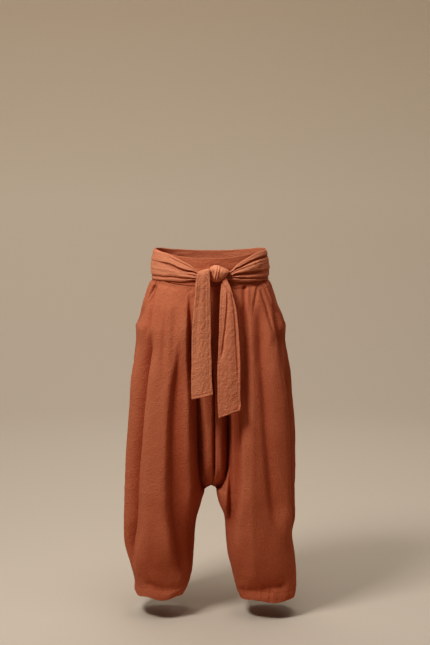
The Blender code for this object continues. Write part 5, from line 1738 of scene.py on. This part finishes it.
def front_y(waist: WaistForm, x: Array, drop: Array) -> Array:
    """Return the y of the smooth front at places given by x and drop."""
    found = np.zeros(np.broadcast(x, drop).shape)
    columns = np.linspace(0.0, 0.8, 120) * (waist.shares - 1)
    for side in Side:
        lattice = waist.lattices[side, Face.FRONT]
        levels = np.clip(drop / waist.step, 0.0, lattice.shape[0] - 1.001)
        half_levels = np.round(levels * 2.0) / 2.0
        mine = x * side.sign >= 0.0
        for row in np.unique(half_levels[mine]):
            picked = mine & (np.abs(half_levels - row) < TINY)
            line = read_grid(lattice, np.full(len(columns), row), columns)
            found[picked] = np.interp(np.abs(x[picked]), np.abs(line[:, 0]), line[:, 1])
    return found


TailRow = namedtuple("TailRow", "drop x0 x1 y")
# Lengthwise folds: (drop, share of the width) pairs, widths on either side as shares
TailFold = namedtuple("TailFold", "path left right depth fade")
TailStep = namedtuple("TailStep", "path rise ease fade")
TAIL_ROWS = {
    Side.RIGHT: (
        TailRow(0.066, -0.032, -0.0085, -0.1101), TailRow(0.056, -0.031, -0.0065, -0.1165),
        TailRow(0.048, -0.0305, -0.0055, -0.1260), TailRow(0.046, -0.031, -0.0045, -0.1345),
        TailRow(0.051, -0.033, -0.0040, -0.1420), TailRow(0.066, -0.037, -0.0030, -0.1460),
        TailRow(0.088, -0.042, -0.0020, -0.1460), TailRow(0.122, -0.044, -0.0010, -0.1430),
        TailRow(0.169, -0.048, 0.000, -0.1400), TailRow(0.246, -0.053, 0.001, -0.1380),
        TailRow(0.322, -0.053, 0.002, -0.1390), TailRow(0.366, -0.053, 0.003, -0.1400),
        TailRow(0.397, -0.052, 0.006, -0.1405),
    ),
    Side.LEFT: (
        TailRow(0.0700, 0.030, 0.042, -0.1170), TailRow(0.0810, 0.0295, 0.0455, -0.1205),
        TailRow(0.088, 0.029, 0.049, -0.1240), TailRow(0.098, 0.0275, 0.053, -0.1280),
        TailRow(0.120, 0.025, 0.060, -0.1345), TailRow(0.169, 0.023, 0.071, -0.1410),
        TailRow(0.246, 0.021, 0.078, -0.1455), TailRow(0.322, 0.018, 0.0805, -0.1495),
        TailRow(0.366, 0.018, 0.0805, -0.1520), TailRow(0.410, 0.019, 0.081, -0.1540),
        TailRow(0.441, 0.0215, 0.0825, -0.1555),
    ),
}
TAIL_FOLDS = {
    Side.RIGHT: (
        TailFold(((0.046, 0.4), (0.09, 0.34), (0.18, 0.26), (0.3, 0.22)), 0.08, 0.13, -0.0014, 0.05),
        TailFold(((0.046, 0.75), (0.1, 0.7), (0.24, 0.74)), 0.1, 0.06, -0.001, 0.05),
        TailFold(((0.06, 0.14), (0.12, 0.1), (0.2, 0.12)), 0.06, 0.06, 0.001, 0.04),
    ),
    Side.LEFT: (
        TailFold(((0.1, 0.6), (0.15, 0.46), (0.22, 0.28), (0.3, 0.14)), 0.04, 0.08, -0.005, 0.03),
        TailFold(((0.1, 0.97), (0.15, 0.86), (0.24, 0.84), (0.36, 0.9)), 0.04, 0.07, -0.0036, 0.04),
        TailFold(((0.14, 0.66), (0.26, 0.6), (0.4, 0.58)), 0.1, 0.12, 0.0012, 0.06),
    ),
}
# Where the left tail comes out from under the knot's strand
TAIL_STEP = TailStep(((0.0806, 0.05), (0.098, 0.52), (0.115, 0.80), (0.130, 1.05)), 0.0034, 0.06, 0.02)
# Relief of the tails: crinkle in two sizes and dents, hems, and waves of the edges
TAIL_SEED = {Side.RIGHT: 401, Side.LEFT: 421}
TAIL_STRAY = Noise(0.5, 0.02, 0.03, 0)
TAIL_CRINKLE = Noise(0.0006, 0.007, 0.013, 1, lean=0.35, climb=-0.5)
TAIL_FINE = Noise(0.0003, 0.0034, 0.006, 2, lean=-0.2)
TAIL_DENTS = Noise(0.0007, 0.020, 0.060, 3)
TAIL_RELIEF_START = 0.02
TAIL_EDGE = Ridge(0.0005, 0.0, 0.004)
TAIL_HEM_LINE = Ridge(-0.0006, 0.00675, 0.0012)
TAIL_WAVES = 0.0008
TAIL_WAVE_RUN = 0.03
TAIL_WAVES_START = 0.05
TAIL_WEAR = Ridge(0.14, 0.0, 0.002)
# Drop of the end from one edge to the other
TAIL_SLANT = {Side.RIGHT: 0.014, Side.LEFT: 0.023}


@dataclass
class SashTail:
    """One hanging end of the sash, hemmed on its edges and cut on a slant."""

    side: Side
    rows: int = 210
    columns: int = 64
    thickness: float = 0.0010
    crowding: float = 1.2
    bow: float = 0.003
    slant_zone: float = 0.10
    top_slope: float = 0.0
    top_power: float = 1.6
    top_start: float = 0.02
    top_ease: float = 0.035
    curl_radius: float = 0.006
    curl_reach: float = 0.010
    curl_zone: float = 0.030
    curl_ease: float = 0.028
    line_start: float = 0.03
    line_short: float = 0.004
    end_line_inset: float = 0.006
    # How much paler the whole tail is painted; a negative value, as on the left tail, is painted shade
    pale: float = 0.0
    cloth: Cloth = field(init=False)
    down: Array = field(init=False)

    @property
    def name(self) -> str:
        """Return the name of the tail's solid."""
        return f"sash_tail_{self.side.value}"

    def lay_out(self) -> None:
        """Lay the tail's grid out, with its folds, crinkle and hems."""
        table = np.array(TAIL_ROWS[self.side])
        path = run_length(table[:, [0, 3]])
        at = np.linspace(0.0, 1.0, self.rows) ** self.crowding * path[-1]
        drop, x0, x1, y = (smooth_through(path, table[:, k], at)[:, None] for k in range(4))
        share = np.linspace(0.0, 1.0, self.columns)[None, :]
        width, seed = x1 - x0, TAIL_SEED[self.side]
        out = self.bow * (1.0 - (2.0 * share - 1.0) ** 2) + self.folds(drop, share)
        at_end = smooth_step((drop - table[-1, 0] + self.slant_zone) / self.slant_zone)
        at_top = 1.0 - smooth_step((at[:, None] - self.top_start) / self.top_ease)
        lifted = drop + TAIL_SLANT[self.side] * (0.5 - share) * at_end
        lifted = lifted + self.top_slope * (1.0 - share) ** self.top_power * at_top
        u, v = width * share, np.broadcast_to(at[:, None], (self.rows, self.columns))
        relief = TAIL_CRINKLE.read(u, v, seed, TAIL_STRAY.read(u, v, seed))
        relief += TAIL_FINE.read(u, v, seed)
        relief += TAIL_DENTS.read(u, v, seed)
        rest = at[-1] - v
        for away in (u, width - u, rest):
            relief = relief + TAIL_EDGE.at(away) + TAIL_HEM_LINE.at(away)
        out = out + relief * smooth_step(v / TAIL_RELIEF_START)
        waves = TAIL_WAVES * soft_noise(v / TAIL_WAVE_RUN, share * 2.0, seed + 4)
        x = x0 + u + waves * smooth_step(v / TAIL_WAVES_START)
        points = np.stack([x, y - out, -lifted], axis=-1)
        if self.side is Side.LEFT:
            points = self.curled(points, u, width, rest)
        normals = grid_normals(points, 1.0)
        self.cloth = Cloth(points, normals, np.stack([u, v], axis=-1))
        self.down = at

    def folds(self, drop: Array, share: Array) -> Array:
        """Return how far the lengthwise folds move the cloth out."""
        total = np.zeros(np.broadcast(drop, share).shape)
        for fold in TAIL_FOLDS[self.side]:
            drops, places = zip(*fold.path)
            away = share - smooth_through(drops, places, drop)
            grown = smooth_step((drop - drops[0]) / fold.fade) * smooth_step((drops[-1] - drop) / fold.fade)
            total = total + fold.depth * grown * uneven_bell(away, fold.left, fold.right)
        if self.side is Side.LEFT:
            drops, places = zip(*TAIL_STEP.path)
            beyond = smooth_step((share - np.interp(drop, drops, places)) / TAIL_STEP.ease)
            total = total + TAIL_STEP.rise * beyond * smooth_step((drops[-1] - drop) / TAIL_STEP.fade)
        return total

    def curled(self, points: Array, u: Array, width: Array, rest: Array) -> Array:
        """Return the points with the outer lower corner curled forward."""
        reach = self.curl_reach * smooth_step((self.curl_zone - rest) / self.curl_ease)
        over = np.maximum(u - width + reach, 0.0)
        angle = over / self.curl_radius
        points = points.copy()
        points[..., 0] -= over - self.curl_radius * np.sin(angle)
        points[..., 1] -= self.curl_radius * (1.0 - np.cos(angle))
        return points

    def build(self, material: bpy.types.Material) -> bpy.types.Object:
        """Build the tail.

        Args:
            material: The sash's linen.

        Returns:
            The finished piece.
        """
        self.lay_out()
        u, v = self.cloth.uv[..., 0], self.cloth.uv[..., 1]
        far_edge, end = u.max(axis=1, keepdims=True) - u, self.down[-1] - v
        worn = sum(bell(away, TAIL_WEAR.width) for away in (u, far_edge, end))
        # The tail's edges are worn pale; its pale value is painted shade
        wear_and_painted_shading = self.pale + TAIL_WEAR.height * worn
        piece = sheet_piece(self.name, self.cloth, 1.0, wear_and_painted_shading, self.thickness, material)
        settle(piece, self.name)
        LOG.info("%s: %.4f square metres, %.3f long", self.name, self.cloth.area(), self.down[-1])
        return piece

    def edge_line(self, column: float, step: float) -> tuple[Array, Array]:
        """Return points and normals that run down the tail beside one edge."""
        at = np.arange(self.line_start, self.down[-1] - self.line_short, step)
        rows = np.interp(at, self.down, np.arange(self.rows, dtype=float))
        return self.cloth.read(rows, np.full(len(rows), column))

    def end_line(self, inset: float, step: float) -> tuple[Array, Array]:
        """Return points and normals that run across the tail above its end."""
        row = np.interp(self.down[-1] - inset, self.down, np.arange(self.rows, dtype=float))
        span = self.cloth.uv[-1, -1, 0]
        columns = np.arange(self.end_line_inset, span - self.end_line_inset, step) / span * (self.columns - 1)
        return self.cloth.read(np.full(len(columns), row), columns)


# One stitch: place along it as a share of its length, and thickness as a share of its radius
STITCH_PROFILE = ((-0.5, 0.05), (-0.44, 0.7), (-0.25, 1.0), (0.25, 1.0), (0.44, 0.7), (0.5, 0.05))


@dataclass
class Stitching:
    """Rows of small stitches that sit in the cloth."""

    name: str
    radius: float = 0.00036
    length: float = 0.0030
    step: float = 0.0042
    sides: int = 6
    proud: float = 0.35
    rows: list[tuple[Array, Array]] = field(default_factory=list)

    def add(self, line: tuple[Array, Array]) -> None:
        """Add a row of stitches along points and normals that lie one step apart."""
        self.rows.append(line)

    def build(self, material: bpy.types.Material) -> bpy.types.Object:
        """Build all rows as one piece.

        Args:
            material: The thread.

        Returns:
            The finished piece.
        """
        centres, ups, alongs = [], [], []
        for points, normals in self.rows:
            ahead = unit(np.gradient(points, axis=0))
            centres.append(points + normals * self.radius * self.proud)
            alongs.append(ahead)
            ups.append(unit(normals - ahead * np.sum(normals * ahead, axis=-1, keepdims=True)))
        centre, along, up = (np.concatenate(part) for part in (centres, alongs, ups))
        across = np.cross(along, up)
        turn = np.linspace(0.0, 2.0 * np.pi, self.sides + 1)[:-1]
        vertices = []
        for place, size in STITCH_PROFILE:
            for angle in turn:
                side = across * math.cos(angle) + up * math.sin(angle)
                vertices.append(centre + along * place * self.length + side * self.radius * size)
        points = np.stack(vertices, axis=1)
        count = len(vertices)
        one = grid_faces(len(STITCH_PROFILE), self.sides, 1.0, ring=True)
        one += [tuple(range(self.sides)), tuple(range(count - self.sides, count))]
        faces = [tuple(k * count + index for index in face) for k in range(len(centre)) for face in one]
        uv = np.zeros((len(centre) * count, 2))
        piece = mesh_piece(self.name, points.reshape(-1, 3), faces, uv, np.zeros(len(uv)), material)
        face_out(piece)
        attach(piece, "root")
        LOG.info("%s: %d stitches", self.name, len(centre))
        return piece


# Soft square lights: where each stands, the point it is turned to, length of its face, watts, colour
Lamp = namedtuple("Lamp", "name place aim size power colour")
LAMPS = (
    Lamp("key_light", (-1.1, -1.3, 1.7), (-0.05, 0.0, 0.40), 0.7, 63.0, (1.0, 0.98, 0.95)),
    Lamp("top_light", (0.35, -0.5, 2.3), (0.05, 0.0, 0.0), 1.2, 18.0, (1.0, 0.98, 0.95)),
    Lamp("back_light", (1.3, 2.3, 2.0), (0.0, 0.0, -0.4), 2.0, 15.0, (1.0, 0.97, 0.93)),
    Lamp("floor_light", (-0.4, -0.6, 3.2), (0.0, 1.2, -0.7), 2.4, 27.0, (1.0, 0.955, 0.90)),
    Lamp("wall_light", (-0.8, 2.4, 3.4), (0.1, 5.6, -0.3), 2.4, 100.0, (1.0, 0.955, 0.90)),
)


@dataclass
class Studio:
    """A pale seamless backdrop, soft light from the front left and the camera."""

    floor_drop: float = 1.04
    radius: float = 5.8
    cove: float = 2.6
    cove_steps: int = 28
    wall_height: float = 4.2
    wall_steps: int = 160
    near: float = 1e-3
    paper_roughness: float = 0.95
    paper_shine: float = 0.1
    floor_colour: tuple[float, float, float] = (0.54, 0.462, 0.377)
    colour: tuple[float, float, float] = (0.57, 0.480, 0.380)
    # The top tone is darker: painted shade high on the wall
    top_shade_colour: tuple[float, float, float] = (0.47, 0.38, 0.285)
    paint_middle: float = 0.45
    paint_top: float = 1.1
    camera_place: tuple[float, float, float] = (0.0112, -4.23238, 0.31017)
    camera_pitch: float = 7.0
    lens: float = 85.0
    sensor: float = 36.0
    shadow_curve: Curve = ((0.008, 0.004), (0.03, 0.021), (0.08, 0.068), (0.3, 0.3))
    green_curve: Curve = ((0.02, 0.0170), (0.05, 0.0455), (0.10, 0.100), (0.3, 0.3))
    blue_curve: Curve = ((0.008, 0.0062), (0.02, 0.0175), (0.05, 0.0500), (0.3, 0.3))
    world_colour: tuple[float, float, float, float] = (1.0, 0.96, 0.91, 1.0)
    world_strength: float = 0.065

    def build(self) -> None:
        """Build the backdrop, the lights and the camera."""
        self.backdrop()
        for lamp in LAMPS:
            self.light(lamp)
        world = bpy.data.worlds.new("studio")
        world.use_nodes = True
        background = world.node_tree.nodes["Background"]
        background.inputs["Color"].default_value = self.world_colour
        background.inputs["Strength"].default_value = self.world_strength
        bpy.context.scene.world = world
        self.develop()
        data = bpy.data.cameras.new("photo_camera")
        data.lens, data.sensor_width = self.lens, self.sensor
        camera = bpy.data.objects.new("photo_camera", data)
        camera.location = self.camera_place
        camera.rotation_euler = (math.radians(90.0 - self.camera_pitch), 0.0, 0.0)
        bpy.context.collection.objects.link(camera)
        bpy.context.scene.camera = camera

    def develop(self) -> None:
        """Set the plain view transform, with the photograph's deep soft shadows."""
        settings = bpy.context.scene.view_settings
        settings.view_transform = "Standard"
        settings.use_curve_mapping = True
        curves = settings.curve_mapping.curves
        for number, points in ((3, self.shadow_curve), (1, self.green_curve), (2, self.blue_curve)):
            for dark, shown in points:
                curves[number].points.new(dark, shown)
        settings.curve_mapping.update()

    def backdrop(self) -> None:
        """Build the seamless backdrop: a round floor that rises into a wall on every side."""
        bpy.ops.object.select_all(action="DESELECT")
        middle = (0.0, 0.0, 0.5 * self.wall_height - self.floor_drop)
        bpy.ops.mesh.primitive_cylinder_add(
            vertices=self.wall_steps, radius=self.radius, depth=self.wall_height, location=middle
        )
        sweep = bpy.context.object
        sweep.name = "backdrop"
        bpy.ops.object.transform_apply(location=True, rotation=False, scale=False)
        floor = self.near - self.floor_drop
        bpy.ops.object.mode_set(mode="EDIT")
        self.clear_choice("FACE")
        for face in sweep.data.polygons:
            face.select = face.normal.z > 0.5
        bpy.ops.object.mode_set(mode="EDIT")
        bpy.ops.mesh.delete(type="ONLY_FACE")
        self.clear_choice("EDGE")
        for edge in sweep.data.edges:
            edge.select = all(sweep.data.vertices[end].co.z < floor for end in edge.vertices)
        bpy.ops.object.mode_set(mode="EDIT")
        bpy.ops.mesh.bevel(offset=self.cove, segments=self.cove_steps, affect="EDGES")
        bpy.ops.mesh.select_all(action="SELECT")
        bpy.ops.mesh.normals_make_consistent(inside=True)
        bpy.ops.object.mode_set(mode="OBJECT")
        LOG.info("backdrop: %d faces, %.2f m high", len(sweep.data.polygons), sweep.dimensions.z)
        sweep.data.shade_smooth()
        sweep.data.materials.append(self.paper())

    @staticmethod
    def clear_choice(kind: str) -> None:
        """Leave edit mode with nothing chosen, ready to choose faces or edges."""
        bpy.ops.mesh.select_mode(type=kind)
        bpy.ops.mesh.select_all(action="DESELECT")
        bpy.ops.object.mode_set(mode="OBJECT")

    def paper(self) -> bpy.types.Material:
        """Return the backdrop's paper, painted in three tones from the floor up, darker at the top as painted
        shade.

        Returns:
            The material.
        """
        material = bpy.data.materials.new("backdrop_paper")
        material.use_nodes = True
        shader = material.node_tree.nodes["Principled BSDF"]
        shade = Shading(material.node_tree)
        place = shade.node("ShaderNodeTexCoord").outputs["Object"]
        height = shade.node("ShaderNodeSeparateXYZ", {"Vector": place}).outputs["Z"]
        span = {"Value": height, "From Min": -self.floor_drop, "From Max": self.paint_top}
        rise = shade.node("ShaderNodeMapRange", span).outputs[0]
        ramp = shade.node("ShaderNodeValToRGB", {"Fac": rise})
        steps = ramp.color_ramp.elements
        steps[0].position, steps[1].position = 0.0, 1.0
        steps.new(self.paint_middle)
        for step, colour in zip(steps, (self.floor_colour, self.colour, self.top_shade_colour)):
            step.color = (*colour, 1.0)
        material.node_tree.links.new(ramp.outputs["Color"], shader.inputs["Base Color"])
        shader.inputs["Roughness"].default_value = self.paper_roughness
        shader.inputs["Specular IOR Level"].default_value = self.paper_shine
        return material

    @staticmethod
    def light(lamp: Lamp) -> None:
        """Add one soft light."""
        data = bpy.data.lights.new(lamp.name, "AREA")
        data.size, data.energy, data.color = lamp.size, lamp.power, lamp.colour
        light = bpy.data.objects.new(lamp.name, data)
        light.location = lamp.place
        light.rotation_euler = (Vector(lamp.aim) - Vector(lamp.place)).to_track_quat("-Z", "Y").to_euler()
        bpy.context.collection.objects.link(light)


# Lines of stitches: insets at the pocket mouth, its first level and last short of the mouth's end
MOUTH_INSETS = (0.0035, 0.0095)
MOUTH_LINE_START = 0.088
MOUTH_LINE_SHORT = 0.004
TAIL_INSET = 0.0070
TAIL_HEIGHTS = {Side.RIGHT: (0.0085, 0.0105), Side.LEFT: (0.0075, 0.0375, 0.0525)}
# How far the right tail's top slopes, and how much darker the left one is painted than the sash: painted
# shade
TAIL_SLOPE = {Side.RIGHT: 0.011, Side.LEFT: 0.0}
TAIL_PAINTED_SHADE = {Side.RIGHT: 0.0, Side.LEFT: -0.30}


@dataclass
class Trousers:
    """The whole piece of clothing, built from the waist down."""

    panels: dict[Key, TrouserPanel] = field(default_factory=dict)
    tails: dict[Side, SashTail] = field(default_factory=dict)

    def build(self) -> None:
        """Build every piece."""
        linen, sash_linen = linen_material(TROUSER_LINEN), linen_material(SASH_LINEN)
        thread = linen_material(THREAD)
        forms = {(side, face): PanelForm(side, face) for side in Side for face in Face}
        for key, form in forms.items():
            panel = TrouserPanel(form, PANEL_COLUMNS[key[1]])
            panel.lay_out()
            panel.build(linen)
            self.panels[key] = panel
        for side in Side:
            PocketFacing(self.panels[side, Face.FRONT], self.panels[side, Face.BACK]).build(linen)
        waist = WaistForm(forms)
        band = Waistband(waist)
        band.build(linen)
        SashWrap(waist).build(sash_linen)
        SashKnot(waist).build(sash_linen)
        for side in Side:
            self.tails[side] = SashTail(side, top_slope=TAIL_SLOPE[side], pale=TAIL_PAINTED_SHADE[side])
            self.tails[side].build(sash_linen)
        self.stitch(band, thread)

    def stitch(self, band: Waistband, thread: bpy.types.Material) -> None:
        """Sew the rows of stitches that show."""
        trousers = Stitching("trouser_stitches")
        for panel in self.panels.values():
            for inset in MOUTH_INSETS if panel.is_front else ():
                last = MOUTH_END - MOUTH_LINE_SHORT
                trousers.add(panel.along_edge(inset, MOUTH_LINE_START, last, trousers.step))
            trousers.add(panel.across_level(LAST_LEVEL - panel.hem_height, trousers.step))
        steps = int(run_length(band.ring)[-1] / trousers.step)
        at, rows = np.linspace(0.0, len(band.ring) - 1.001, steps), np.zeros(steps)
        lines = (band.ring, band.ring_normals)
        ring, normals = (read_grid(np.stack([line, line]), rows, at) for line in lines)
        trousers.add((ring, unit(normals)))
        trousers.build(thread)
        sash = Stitching("sash_stitches", radius=0.0003, length=0.0026, step=0.0038)
        for tail in self.tails.values():
            last = tail.columns - 1
            inset = last * TAIL_INSET / float(tail.cloth.uv[tail.rows // 2, -1, 0])
            for column in (inset, last - inset):
                sash.add(tail.edge_line(column, sash.step))
            for height in TAIL_HEIGHTS[tail.side]:
                sash.add(tail.end_line(height, sash.step))
        sash.build(thread)


def main() -> None:
    """Build the trousers and the studio round them."""
    logging.basicConfig(level=logging.INFO, format="%(name)s: %(message)s")
    Trousers().build()
    Studio().build()


if __name__ == "__main__":
    main()
